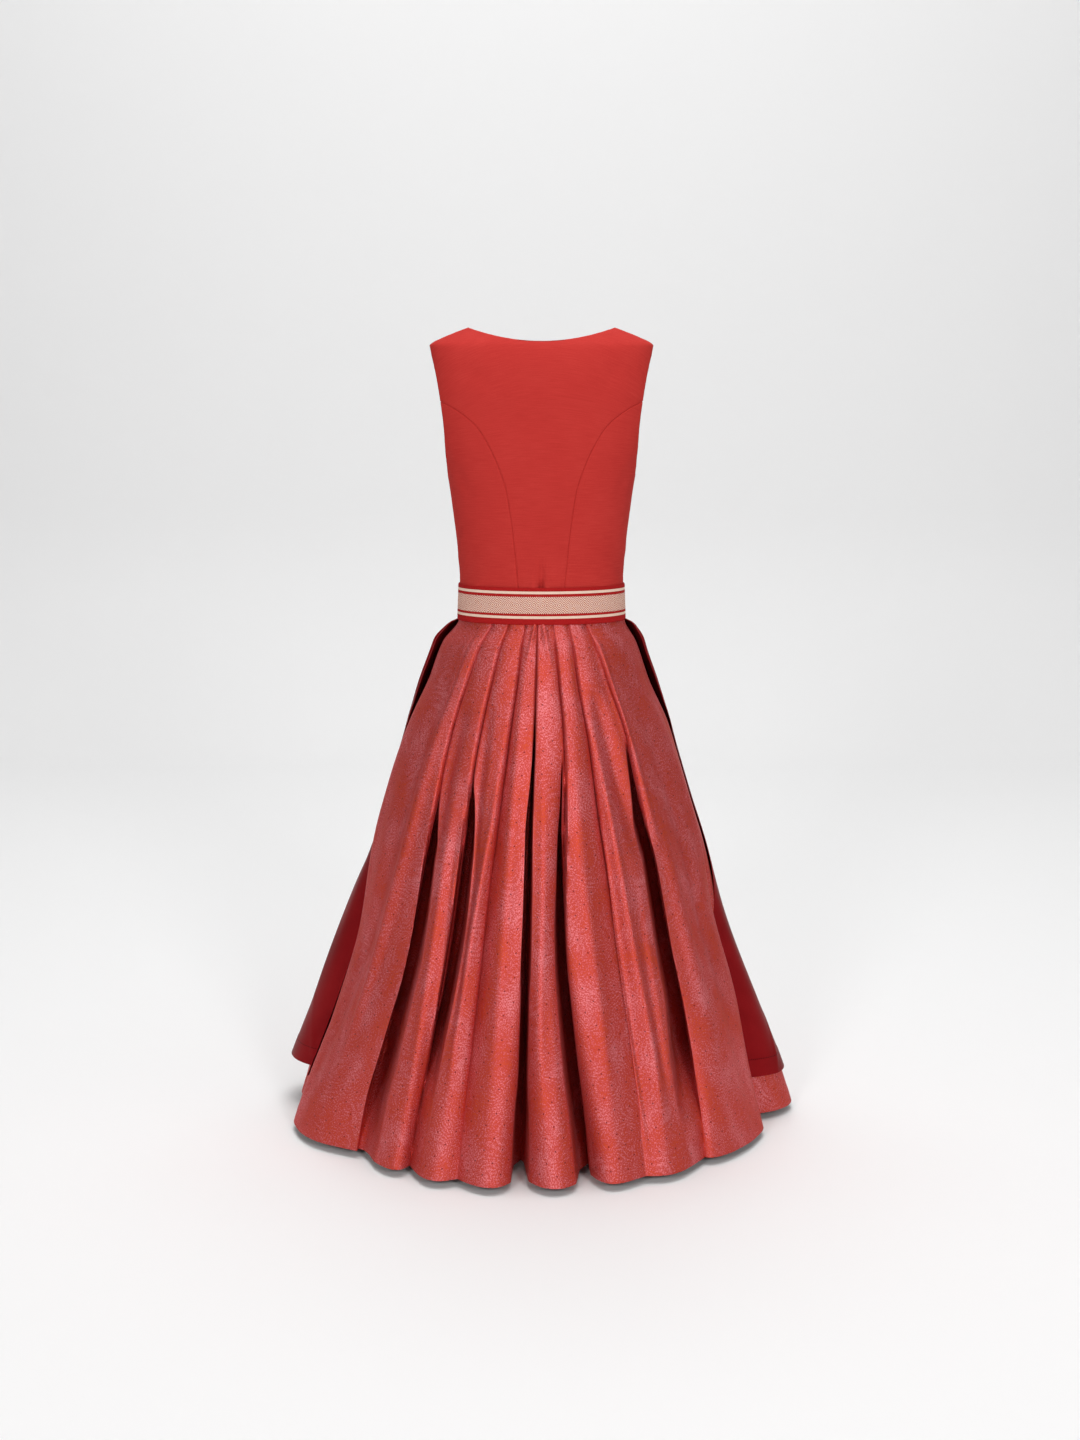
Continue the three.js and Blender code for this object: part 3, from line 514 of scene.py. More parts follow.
back_seam = seam_line("back")
front_seam = seam_line("front")
back_half = centre_panel("back", back_seam)
mirrored = back_half[:, :0:-1] * np.array([-1, 1])
whole_back = np.concatenate([mirrored, back_half], axis=1)
back_top, front_top = SEAM["back"]["top_z"], SEAM["front"]["top_z"]
bodice_panel("bodice_back", whole_back, 1,
             {"start": (back_top, 1), "end": (back_top, 1), "top": (-1, NECK_HALF_WIDTH - 0.002)})
for word, side in (("left", 1), ("right", -1)):
    bodice_panel(f"bodice_side_back_{word}", side_panel("back", back_seam), side,
                 {"top": (-1, 1)})
    bodice_panel(f"bodice_side_front_{word}", side_panel("front", front_seam), side,
                 {"top": (-1, 1)})
    bodice_panel(f"bodice_front_{word}", centre_panel("front", front_seam), side,
                 {"start": (-FRONT_NECK_DROP, 1), "end": (front_top, 1)})

# ---- the skirt ----
# Two widths of changeant jacquard, pink over orange, laid in knife pleats that face the centre
# back and open into deep round folds. It is sewn to the bodice under the band.
SKIRT_CLOTH = 0.0012
SKIRT_HEM_Z = -1.191
SKIRT_HEM_TURN = 0.022  # the hem's turned-up depth, which shows as a faint line
SKIRT_HEM_STEP = 0.0005
SKIRT_HEM_EASE = 0.001
UPPER_Z = -0.556
MIDDLE_Z = -0.866
SKIRT = {
    "z": [-0.404, -0.431, -0.464, -0.524, -0.586, -0.647, -0.717, -0.768, -0.866, -1.025, -1.131,
          -1.191],
    "left": [0.1225, 0.1245, 0.149, 0.172, 0.199, 0.220, 0.240, 0.255, 0.285, 0.338, 0.376, 0.395],
    "right": [0.1225, 0.1245, 0.142, 0.163, 0.191, 0.210, 0.231, 0.247, 0.274, 0.334, 0.374,
              0.393],
    "back": [0.090, 0.092, 0.116, 0.145, 0.171, 0.194, 0.217, 0.233, 0.262, 0.306, 0.336, 0.352],
    "front": [0.0935, 0.095, 0.109, 0.129, 0.150, 0.170, 0.191, 0.206, 0.233, 0.279, 0.311, 0.328],
}
# Each hollow's turn at the waist, below it, half way down and at the hem; where it opens; its
# depth at the hem as a share of the radius; then how far the fold after it stands out, and at
# what share of its width it is highest, each half way down and at the hem.
FOLDS = [
    (-104, -106, -108, -112, -0.560, 0.100, -0.010, 0.000, 0.55, 0.55),
    (-78, -78, -77, -80, -0.700, 0.165, -0.020, -0.075, 0.30, 0.70),
    (-31, -39.5, -42, -37, -0.640, 0.140, -0.020, -0.035, 0.62, 0.55),
    (-18.6, -21, -23, -22, -0.630, 0.065, -0.010, -0.020, 0.60, 0.50),
    (-7.5, -10, -7, -10, -0.560, 0.145, 0.000, 0.000, 0.60, 0.50),
    (2.6, 2.9, 4.2, 4.4, -0.540, 0.145, 0.000, 0.005, 0.42, 0.50),
    (10.6, 13.2, 17, 17.5, -0.620, 0.060, -0.005, -0.010, 0.40, 0.50),
    (22.6, 27, 27.8, 28.5, -0.620, 0.130, -0.020, -0.042, 0.40, 0.50),
    (35.4, 42.2, 42.3, 41, -0.670, 0.140, -0.062, -0.012, 0.62, 0.64),
    (94, 92, 90, 89, -0.690, 0.130, 0.000, -0.010, 0.50, 0.50),
    (116, 118, 119, 122, -0.600, 0.120, 0.010, 0.010, 0.50, 0.50),
    (142, 144, 146, 149, -0.560, 0.090, 0.000, 0.000, 0.50, 0.50),
    (172, 174, 176, 177, -0.580, 0.100, 0.000, 0.010, 0.50, 0.50),
    (204, 204, 204, 205, -0.560, 0.090, 0.000, 0.000, 0.50, 0.50),
    (232, 230, 228, 226, -0.580, 0.090, -0.010, -0.020, 0.50, 0.50),
]
CENTRE_HOLLOW = 5
LAID_HOLLOWS = range(2, 9)
MIDDLE_DEPTH = 0.85
CREST_EASE = (-0.720, -0.926)
PLEAT_STEP = 0.03
SOFT_STEP = 0.012
OPENING_LENGTH = 0.260
ROUNDING_FROM_Z = -0.700
FOLD_FLATNESS = 3.4
HEM_FLATNESS = 2.1
EDGE_TURN = 0.7  # a laid pleat's edge turns in over this many degrees
# Behind the laid pleats the cloth runs far back. Each slot has the turns of its soft and its
# crisp side down the skirt, the heights between which it opens and closes again, and the share
# of its depth that is left at the hem.
SLOT_DEPTH = 0.075
SLOTS = {
    2: {
        "z": [-0.404, -0.556, -0.600, -0.680, -0.720, -0.760, -0.850, -0.900, -0.950, -1.000,
              -1.050, -1.100, -1.191],
        "soft": [-30.8, -39.1, -38.2, -37.2, -36.3, -36.2, -36.4, -36.0, -35.7, -34.4, -33.4,
                 -33.4, -34.0],
        "crisp": [-31.2, -39.6, -39.4, -40.2, -41.6, -42.4, -43.0, -42.5, -41.8, -41.2, -40.4,
                  -39.0, -38.5],
        "opens": (-0.590, -0.690), "closes": (-1.040, -1.140), "left": 0.0,
    },
    4: {
        "z": [-0.404, -0.556, -0.640, -0.680, -0.720, -0.800, -0.850, -0.900, -0.950, -1.050,
              -1.100, -1.191],
        "soft": [-7.3, -9.6, -7.6, -6.8, -5.6, -4.4, -3.8, -3.8, -4.2, -5.2, -6.0, -7.0],
        "crisp": [-7.7, -10.0, -8.3, -7.6, -7.1, -7.1, -7.3, -7.4, -8.0, -9.0, -9.6, -10.2],
        "opens": (-0.610, -0.720), "closes": (-1.080, -1.191), "left": 0.6,
    },
    5: {
        "z": [-0.404, -0.556, -0.600, -0.640, -0.720, -0.800, -0.900, -0.950, -1.050, -1.100,
              -1.191],
        "soft": [2.4, 2.6, 2.4, 2.7, 2.9, 2.8, 2.9, 3.2, 3.2, 2.8, 2.6],
        "crisp": [2.8, 3.2, 3.6, 4.2, 5.6, 5.6, 5.8, 5.5, 5.5, 6.0, 6.3],
        "opens": (-0.540, -0.640), "closes": (-1.080, -1.191), "left": 0.8,
    },
    7: {
        "z": [-0.404, -0.556, -0.640, -0.680, -0.720, -0.760, -0.850, -0.950, -1.000, -1.050,
              -1.191],
        "soft": [22.3, 26.6, 26.6, 25.2, 24.2, 23.6, 23.3, 23.9, 24.4, 25.0, 26.0],
        "crisp": [22.8, 27.1, 27.3, 27.0, 26.8, 26.9, 27.0, 27.3, 28.0, 28.2, 29.2],
        "opens": (-0.610, -0.710), "closes": (-0.980, -1.100), "left": 0.0,
    },
    8: {
        "z": [-0.404, -0.556, -0.640, -0.680, -0.720, -0.760, -0.800, -0.850, -0.900, -0.950,
              -1.000, -1.050, -1.100, -1.191],
        "soft": [35.1, 41.9, 41.6, 41.0, 39.4, 37.2, 36.6, 36.1, 36.0, 36.6, 37.3, 37.8, 38.4,
                 38.6],
        "crisp": [35.6, 42.3, 41.8, 41.5, 41.5, 41.6, 41.7, 41.9, 42.4, 42.8, 43.3, 43.5, 43.9,
                  43.2],
        "opens": (-0.640, -0.740), "closes": (-1.080, -1.185), "left": 0.15,
    },
}
SLOT_SIDES = {"soft": (0, 0.34), "crisp": (0.86, 1)}  # shares of a slot's width
STRAIGHT_UNTIL = (55, 80)
STRAIGHT_BELOW = (-0.47, -0.60)
# Under the apron the cloth is pressed in, over these turns from the front and these heights.
UNDER_APRON = {"sink": 0.0065, "from_front": (70, 86), "top": (-0.44, -0.50),
               "foot": (-1.085, -1.125)}
GROOVE = {"z": [-0.412, -0.460, -0.510, -0.560, -0.610, -0.680, -0.780], "half_width": 0.0015,
          "rise": -0.0050}
SKIRT_ROWS = 150
COLUMNS_PER_DEGREE = 1.35
SIDE_SEAM_RADIUS = 0.2
FOLD_SPACING = 0.37  # how far apart the folds' crests are laid on the flat cloth

SKIRT_CREASES = [
    # The outer folds: a facet beside each slot, then a ridge, then a flank that falls away.
    ([(41, -0.380), (46, -0.470), (50, -0.640), (52, -0.760), (58, -0.900), (61, -1.300)],
     0.012, 0.0080),
    ([(50, -0.440), (58, -0.600), (62, -0.760), (70, -0.940), (73, -1.240)], 0.020, -0.0075),
    ([(44, -0.410), (50, -0.540), (53, -0.640)], 0.0042, -0.0034),
    ([(-32, -0.380), (-38, -0.500), (-42.6, -0.640), (-44.5, -0.760)], 0.0060, 0.0050),
    ([(-46, -0.640), (-50, -0.860), (-51, -1.300)], 0.014, 0.0075),
    ([(-52, -0.480), (-60, -0.700), (-63, -0.900), (-62, -1.240)], 0.018, -0.0070),
    ([(-70, -0.560), (-78, -0.760), (-80, -1.000)], 0.018, 0.0060),
    ([(80, -0.520), (84, -0.760), (83, -1.040)], 0.020, 0.0060),
    # The inner folds: ridges as bright lines, troughs beside them, and hollows above the slots.
    ([(13.5, -0.500), (16.8, -0.700), (20.5, -0.860), (21.5, -1.000), (22.5, -1.300)],
     0.0065, 0.0068),
    ([(12.0, -0.460), (14.2, -0.640), (16.8, -0.860), (17.6, -1.240)], 0.0085, -0.0062),
    ([(24.5, -0.540), (24.0, -0.660), (22.8, -0.780), (23.0, -1.000)], 0.0080, -0.0085),
    ([(38, -0.540), (39, -0.660), (37.5, -0.760)], 0.0110, -0.0085),
    ([(34, -0.640), (33, -0.820), (32.5, -1.000), (33, -1.300)], 0.0090, 0.0060),
    ([(30.5, -0.700), (29.8, -0.900), (30.4, -1.200)], 0.0055, -0.0040),
    ([(10.0, -0.520), (10.5, -0.760), (11.0, -0.960), (11.5, -1.300)], 0.0110, 0.0060),
    ([(-1.0, -0.560), (-0.5, -0.760), (0.5, -1.000), (-1.5, -1.300)], 0.0080, 0.0050),
    ([(-13, -0.540), (-13, -0.760), (-15.5, -0.960), (-17, -1.300)], 0.0120, 0.0065),
    ([(-20.5, -0.480), (-22.5, -0.680), (-24.6, -0.860), (-25, -1.180)], 0.0080, -0.0080),
    ([(-22.5, -0.560), (-25.5, -0.700), (-28.2, -0.860), (-29, -1.040), (-28.5, -1.240)],
     0.0068, 0.0070),
    ([(-28, -0.520), (-32, -0.640), (-35.5, -0.760)], 0.0150, -0.0110),
    ([(-32.4, -0.780), (-32.0, -0.960), (-31.5, -1.160)], 0.0060, -0.0045),
    ([(-34, -1.060), (-36, -1.300)], 0.0110, -0.0060),
    # The tucks below the middle of the band.
    ([(3.2, -0.405), (5.0, -0.440), (7.4, -0.480)], 0.0030, 0.0052),
    ([(0.8, -0.405), (-1.8, -0.440), (-5.0, -0.484)], 0.0032, 0.0052),
    # The front half, pressed in softly under the apron.
    ([(128, -0.480), (132, -0.680), (134, -0.900)], 0.014, -0.0045),
    ([(192, -0.520), (190, -0.740), (189, -0.960)], 0.014, -0.0045),
    ([(247, -0.480), (244, -0.680), (243, -0.940)], 0.014, -0.0040),
    ([(158, -1.080), (160, -1.300)], 0.012, 0.0040),
    ([(216, -1.070), (214, -1.300)], 0.012, 0.0040),
]


def hollow_turn(fold, z):
    path = {"z": [WAIST_Z, UPPER_Z, MIDDLE_Z, SKIRT_HEM_Z], "turn": fold[:4]}
    return along(path, z, "turn")


def hollow_depth(i, z):
    opens, depth = FOLDS[i][4:6]
    closed = PLEAT_STEP if i in LAID_HOLLOWS else SOFT_STEP
    low = opens - OPENING_LENGTH
    opened = mix(closed, depth * MIDDLE_DEPTH, smooth(opens, low, z))
    return mix(opened, depth, smooth(low, SKIRT_HEM_Z, z))


def fold_share(turn, z, share):
    """The radius as a share of the crest line's, with hollows of a share of their depth."""
    turn, z = np.broadcast_arrays(turn, z)
    first = hollow_turn(FOLDS[0], z)
    at = (turn - first) % 360 + first
    result = np.ones_like(at)
    for i, fold in enumerate(FOLDS):
        following = (i + 1) % len(FOLDS)
        start = hollow_turn(fold, z)
        end = hollow_turn(FOLDS[following], z) + (360 if following == 0 else 0)
        inside = (at >= start) & (at <= end)
        s = np.clip((at - start) / (end - start), 0, 1)
        low = smooth(MIDDLE_Z, SKIRT_HEM_Z, z)
        flatness = mix(FOLD_FLATNESS, HEM_FLATNESS, low)
        top = mix(fold[8], fold[9], low)
        leaning = s ** (math.log(0.5) / np.log(top))
        rounded = 1 - np.abs(2 * leaning - 1) ** flatness
        height = rounded
        if LAID_HOLLOWS[0] - 1 <= i <= LAID_HOLLOWS[-1]:
            towards_back = i < CENTRE_HOLLOW
            inward = s if towards_back else 1 - s
            past_top = s > top if towards_back else s < top
            t = np.clip((1 - inward) * (end - start) / EDGE_TURN, 0, 1)
            drop = np.sqrt(np.maximum(0, 1 - (1 - t) ** 2))
            laid = np.minimum(np.where(past_top, 1, rounded), drop)
            height = mix(laid, rounded, smooth(ROUNDING_FROM_Z, SKIRT_HEM_Z, z))
        depth = mix(hollow_depth(i, z), hollow_depth(following, z), s)
        above = mix(0, fold[6], smooth(*CREST_EASE, z))
        crest = mix(above, fold[7], smooth(CREST_EASE[1], SKIRT_HEM_Z, z))
        value = 1 + crest * height - share * depth * (1 - height)
        result = np.where(inside, value, result)
    return result


def skirt_section(turn, z, share):
    angle = np.radians(turn)
    wide = np.where(np.sin(angle) < 0, along(SKIRT, z, "right"), along(SKIRT, z, "left"))
    deep = np.where(np.cos(angle) < 0, along(SKIRT, z, "front"), along(SKIRT, z, "back"))
    x, y = wide * np.sin(angle) * share, deep * np.cos(angle) * share
    return np.stack([x, y, z + 0 * x], axis=-1)


def crest_at(turn, z):
    return skirt_section(turn, z, fold_share(turn, z, 0))


def slot_depth(turn, z):
    """How far the cloth runs back behind the edges of the laid pleats."""
    total = np.zeros(np.broadcast(turn, z).shape)
    for i, slot in SLOTS.items():
        soft, crisp = along(slot, z, "soft"), along(slot, z, "crisp")
        t = (turn - soft) / (crisp - soft)
        shape = smooth(*SLOT_SIDES["soft"], t) * (1 - smooth(*SLOT_SIDES["crisp"], t))
        closed = (1 - slot["left"]) * smooth(*slot["closes"], z)
        total += SLOT_DEPTH * shape * smooth(*slot["opens"], z) * (1 - closed)
    return total


def skirt_at(turn, z):
    """The skirt's cloth. Its crests are the solid's. At the back its hollows go straight in, as
    those of pleats laid towards the centre back do, and the slots go further still."""
    crest = crest_at(turn, z)
    inward = skirt_section(turn, z, fold_share(turn, z, 1)) - crest
    depth = np.linalg.norm(inward, axis=-1, keepdims=True)
    from_back = np.abs((turn + 180) % 360 - 180)
    straight = (1 - smooth(*STRAIGHT_UNTIL, from_back)) * smooth(*STRAIGHT_BELOW, z)
    straight_in = (depth + slot_depth(turn, z)[..., None]) * np.array([0, -1, 0])
    return crest + mix(inward, straight_in, straight[..., None])


def fold_columns(limits, z):
    """Turns at every height between the hollows in a list, closer together near each hollow."""
    turns, owners = [], []
    for k in range(len(limits) - 1):
        start, end = limits[k], limits[k + 1]
        width = float(np.mean(end - start))
        count = max(14, round(width * COLUMNS_PER_DEGREE))
        share = np.linspace(0, 1, count + 1)
        share = mix(share, 0.5 - 0.5 * np.cos(np.pi * share), 0.75)
        for s in share[: None if k == len(limits) - 2 else -1]:
            turns.append(mix(start, end, s))
            owners.append(k)
    return np.stack(turns, axis=1), np.array(owners)


DOTS = {"across": 0.0135, "along": 0.034, "radius": 0.0011}


def jacquard(name, orange, red, pink, deep):
    """Changeant jacquard: pink and orange threads, curled rings, and small dots in rows."""
    material, tree, shader = new_finish(name, 0.42, 0.45)
    shader.inputs["Metallic"].default_value = 0.55
    shader.inputs["Specular Tint"].default_value = colour(206, 96, 84)
    place = flat_cloth(tree, (1, 1))
    drift = tree.nodes.new("ShaderNodeTexNoise")
    drift.inputs["Scale"].default_value = 16
    drift.inputs["Detail"].default_value = 1
    tree.links.new(place, drift.inputs["Vector"])
    shifted = tree.nodes.new("ShaderNodeVectorMath")
    shifted.operation = "MULTIPLY_ADD"
    shifted.inputs[1].default_value = (0.07, 0.07, 0)
    tree.links.new(drift.outputs["Color"], shifted.inputs[0])
    tree.links.new(place, shifted.inputs[2])
    cells = tree.nodes.new("ShaderNodeTexVoronoi")
    cells.inputs["Scale"].default_value = 17
    tree.links.new(shifted.outputs["Vector"], cells.inputs["Vector"])
    rings = arithmetic(tree, "MULTIPLY", cells.outputs["Distance"], 80)
    rings = arithmetic(tree, "MULTIPLY_ADD", arithmetic(tree, "SINE", rings), 0.5)
    rings.node.inputs[2].default_value = 0.5
    cloud = noise(tree, (26, 14), 2, 0.5)
    fine = noise(tree, (620, 420), 2, 0.7)
    blended = weighed(tree, (rings, 0.05), (cloud, 0.28), (fine, 0.68))
    tint = ramp(tree, blended, [(0.35, orange), (0.49, red), (0.64, pink)])

    # The dots stand in upright rows, every other row half a step lower.
    column, place_in_row = across_and_along(tree, (1 / DOTS["across"], 1 / DOTS["along"]))
    lowered = weighed(tree, (place_in_row, 1), (arithmetic(tree, "FLOOR", column), 0.5))
    squares = []
    for place, pitch in ((column, DOTS["across"]), (lowered, DOTS["along"])):
        off = arithmetic(tree, "SUBTRACT", arithmetic(tree, "FRACT", place), 0.5)
        off = arithmetic(tree, "MULTIPLY", off, pitch)
        squares.append(arithmetic(tree, "MULTIPLY", off, off))
    reach = arithmetic(tree, "SQRT", arithmetic(tree, "ADD", *squares))
    dot = arithmetic(tree, "LESS_THAN", reach, DOTS["radius"])
    dotted = blend(tree, arithmetic(tree, "MULTIPLY", dot, 0.75), tint, deep)
    tree.links.new(dotted, shader.inputs["Base Color"])
    threads = weave(tree, 0.0007, 0.0009)
    height = weighed(tree, (threads, 0.25), (rings, 0.04), (fine, 0.8), (dot, -1))
    relief(tree, shader, height, 0.0002, 0.8)
    return material


skirt_right_side = jacquard("skirt_jacquard", colour(211, 86, 50), colour(194, 64, 58),
                            colour(226, 132, 138), colour(84, 12, 20))
skirt_wrong_side = jacquard("skirt_jacquard_inside", colour(150, 44, 30), colour(148, 36, 36),
                            colour(160, 54, 60), colour(92, 12, 22))


# A narrow groove runs down beside each laid pleat's edge, from the band to where the fold opens.
for i in LAID_HOLLOWS:
    SKIRT_CREASES.append(([(float(hollow_turn(FOLDS[i], z)), z) for z in GROOVE["z"]],
                          GROOVE["half_width"], GROOVE["rise"]))


def moved_out(points, rise):
    """The points moved away from the dress's upright axis."""
    outward = points * np.array([1, 1, 0])
    outward /= np.linalg.norm(outward, axis=-1, keepdims=True)
    return points + outward * rise[..., None]


def skirt_panel(name, edges, lines):
    seam = np.degrees(SEAM_GAP / 2 / SIDE_SEAM_RADIUS)
    z = np.linspace(SKIRT_HEM_Z, WAIST_Z - SEAM_GAP / 2, SKIRT_ROWS + 1)
    limits = [np.full_like(z, edges[0] + seam)]
    limits += [line(z) for line in lines]
    limits += [np.full_like(z, edges[1] - seam)]
    turn, owner = fold_columns(limits, z)
    height = z[:, None] + 0 * turn
    points = skirt_at(turn, height)
    points, turn, owner = points[:, ::-1], turn[:, ::-1], owner[::-1]
    height = height[:, ::-1]
    rise = creased(turn, height, SKIRT_CREASES, crest_at)
    pressed = 1 - smooth(*UNDER_APRON["from_front"], np.abs(180 - turn))
    pressed = pressed * smooth(*UNDER_APRON["top"], height)
    pressed = pressed * (1 - smooth(*UNDER_APRON["foot"], height))
    rise = rise - UNDER_APRON["sink"] * pressed
    above_hem = height - SKIRT_HEM_Z
    step = smooth(SKIRT_HEM_TURN - SKIRT_HEM_EASE, SKIRT_HEM_TURN + SKIRT_HEM_EASE, above_hem)
    points = moved_out(points, rise + SKIRT_HEM_STEP * (1 - step))
    # The cloth's own place: measured from each fold's crest, so the pattern is never squeezed.
    across, _, up, _ = edge_distances(points)
    flat_across = np.empty_like(across)
    for k in np.unique(owner):
        mine = np.flatnonzero(owner == k)
        crest = mine[len(mine) // 2]
        flat_across[:, mine] = across[:, mine] - across[:, crest : crest + 1] + FOLD_SPACING * k
    flat = np.stack([flat_across, up], axis=-1)
    panel = cloth_sheet(f"{name}_cloth", points, flat, SKIRT_CLOTH,
                        [skirt_right_side, skirt_wrong_side])
    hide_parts(name)


def hollow_line(i, lap=0):
    return lambda z: hollow_turn(FOLDS[i], z) + lap


def slot_line(i, side):
    return lambda z: along(SLOTS[i], z, side)


skirt_panel(
    "skirt_back", (-90, 90),
    [
        hollow_line(1),
        slot_line(2, "crisp"), slot_line(2, "soft"),
        hollow_line(3),
        slot_line(4, "crisp"), slot_line(4, "soft"),
        slot_line(5, "soft"), slot_line(5, "crisp"),
        hollow_line(6),
        slot_line(7, "soft"), slot_line(7, "crisp"),
        slot_line(8, "soft"), slot_line(8, "crisp"),
    ],
)
skirt_panel("skirt_front", (90, 270), [*map(hollow_line, range(10, 15)), hollow_line(0, 360)])

# ---- the apron ----
# One width of dark red satin, gathered into the band's lower edge and open at the back. Its foot
# is turned up 30 mm and stitched.
APRON_CLOTH = 0.0009
APRON_TOP_Z = -0.4313
APRON_HEM_Z = -1.131
APRON_EASE = {
    "z": [-0.431, -0.435, -0.443, -0.480, -0.520, -0.570, -0.620, -0.740, -0.866, -1.131],
    "off": [0.0014, 0.0085, 0.011, 0.0085, 0.0105, 0.006, 0.003, 0.0026, 0.004, 0.004],
    "flare": [0, 0, 0, 0, 0, 0, 0, 0, 0.012, 0.032],
}
LEFT_FLARE = (86, 106, 145)
APRON_EDGES = {
    "z": [-0.431, -0.520, -0.620, -0.700, -0.760, -0.820, -0.880, -0.950, -1.131],
    "left": [92, 93, 95, 96, 94, 90.5, 87, 84, 82],
    "right": [-92, -93, -95, -94, -90, -84, -79, -76, -75],
}
APRON_BRIDGES = 0.5
APRON_TUCK = 16
APRON_PLEATS = 15
APRON_PLEAT_RISE = 0.0032
APRON_PLEATS_GROW_TO_Z = -0.457
APRON_PLEATS_FADE = (-0.520, -0.760)
APRON_SOLID_CLOTH = 0.0012
APRON_HEM_DEPTH = 0.030
STITCHES = {"height": 0.0275, "half": 0.0006, "pitch": 0.0034, "length": 0.0026,
            "thread": (84, 10, 14)}
APRON_ROWS = 150
APRON_COLUMNS = 320
GATHERS = 47
GATHER_RISE = 0.0011
GATHERS_GROW_TO_Z = -0.440
GATHERS_FADE = (-0.455, -0.600)
APRON_HEM_STEP = 0.0006
APRON_HEM_EASE = 0.0012

APRON_CREASES = [
    # share across and height down a line, half width, rise
    ([(0.10, -0.520), (0.085, -0.760), (0.08, -1.050)], 0.015, 0.0045),
    ([(0.21, -0.460), (0.18, -0.760), (0.165, -1.300)], 0.018, -0.0055),
    ([(0.29, -0.540), (0.285, -0.800), (0.28, -1.080)], 0.014, 0.0048),
    ([(0.375, -0.450), (0.385, -0.800), (0.395, -1.300)], 0.020, -0.0050),
    ([(0.47, -0.500), (0.465, -0.720), (0.46, -0.980)], 0.015, 0.0042),
    ([(0.55, -0.460), (0.555, -0.800), (0.565, -1.300)], 0.018, -0.0052),
    ([(0.64, -0.580), (0.65, -0.820), (0.66, -1.110)], 0.015, 0.0050),
    ([(0.735, -0.460), (0.75, -0.780), (0.775, -1.300)], 0.018, -0.0048),
    ([(0.83, -0.540), (0.845, -0.760), (0.86, -1.020)], 0.015, 0.0044),
    ([(0.915, -0.480), (0.93, -0.800), (0.945, -1.300)], 0.013, -0.0036),
    ([(0.005, -1.170), (0.045, -1.110), (0.085, -1.020)], 0.0045, 0.0022),
    ([(0.96, -1.160), (0.945, -1.100), (0.925, -1.040)], 0.0045, 0.0018),
    ([(0.31, -0.820), (0.37, -0.870), (0.43, -0.910)], 0.010, 0.0014),
    ([(0.58, -0.910), (0.64, -0.880), (0.70, -0.850)], 0.010, -0.0014),
]


def apron_at(u, z):
    left, right = along(APRON_EDGES, z, "left"), along(APRON_EDGES, z, "right") + 360
    turn = mix(left, right, u)
    from_edge = np.minimum(turn - left, right - turn)
    dip = mix(1, APRON_BRIDGES, smooth(0, APRON_TUCK, from_edge))
    point = skirt_section(turn, z, fold_share(turn, z, dip))
    wave = 0.5 - 0.5 * np.cos(2 * np.pi * APRON_PLEATS * u)
    grows = smooth(APRON_TOP_Z, APRON_PLEATS_GROW_TO_Z, z)
    rise = APRON_PLEAT_RISE * wave * grows * (1 - smooth(*APRON_PLEATS_FADE, z))
    low, peak, high = LEFT_FLARE
    flare = along(APRON_EASE, z, "flare") * smooth(low, peak, turn) * (1 - smooth(peak, high, turn))
    away = along(APRON_EASE, z, "off") + APRON_SOLID_CLOTH + rise + flare
    radius = np.linalg.norm(point[..., :2], axis=-1)
    scale = (radius + away) / radius
    return point * np.stack([scale, scale, np.ones_like(scale)], axis=-1)


def satin(name, dark, middle, light, roughness):
    """Satin: long smooth floats, so it shines softly along the weft."""
    material, tree, shader = new_finish(name, roughness, 0.12)
    cloud = noise(tree, (10, 7), 3, 0.5)
    fine = noise(tree, (1900, 260), 2, 0.6)
    tint = ramp(tree, weighed(tree, (cloud, 0.6), (fine, 0.4)),
                [(0.36, dark), (0.5, middle), (0.66, light)])
    across, up = across_and_along(tree)
    off_row = arithmetic(tree, "ABSOLUTE", arithmetic(tree, "SUBTRACT", up, STITCHES["height"]))
    on_row = arithmetic(tree, "LESS_THAN", off_row, STITCHES["half"])
    run = arithmetic(tree, "PINGPONG", across, STITCHES["pitch"] / 2)
    stitch = arithmetic(tree, "LESS_THAN", run, STITCHES["length"] / 2)
    stitch = arithmetic(tree, "MULTIPLY", stitch, on_row)
    sewn = blend(tree, stitch, tint, colour(*STITCHES["thread"]))
    tree.links.new(sewn, shader.inputs["Base Color"])
    relief(tree, shader, weighed(tree, (fine, 1), (stitch, -3)), 0.00012, 0.6)
    shader.inputs["Metallic"].default_value = 0.3
    shader.inputs["Specular Tint"].default_value = colour(120, 20, 24)
    return material


apron_right_side = satin("apron_satin", colour(128, 20, 24), colour(140, 24, 28),
                         colour(152, 30, 34), 0.42)
apron_wrong_side = satin("apron_satin_inside", colour(92, 16, 20), colour(104, 20, 23),
                         colour(116, 26, 28), 0.62)

z = np.linspace(APRON_HEM_Z, APRON_TOP_Z, APRON_ROWS + 1)[:, None]
u = np.linspace(1, 0, APRON_COLUMNS + 1)[None]
points = apron_at(u, z)
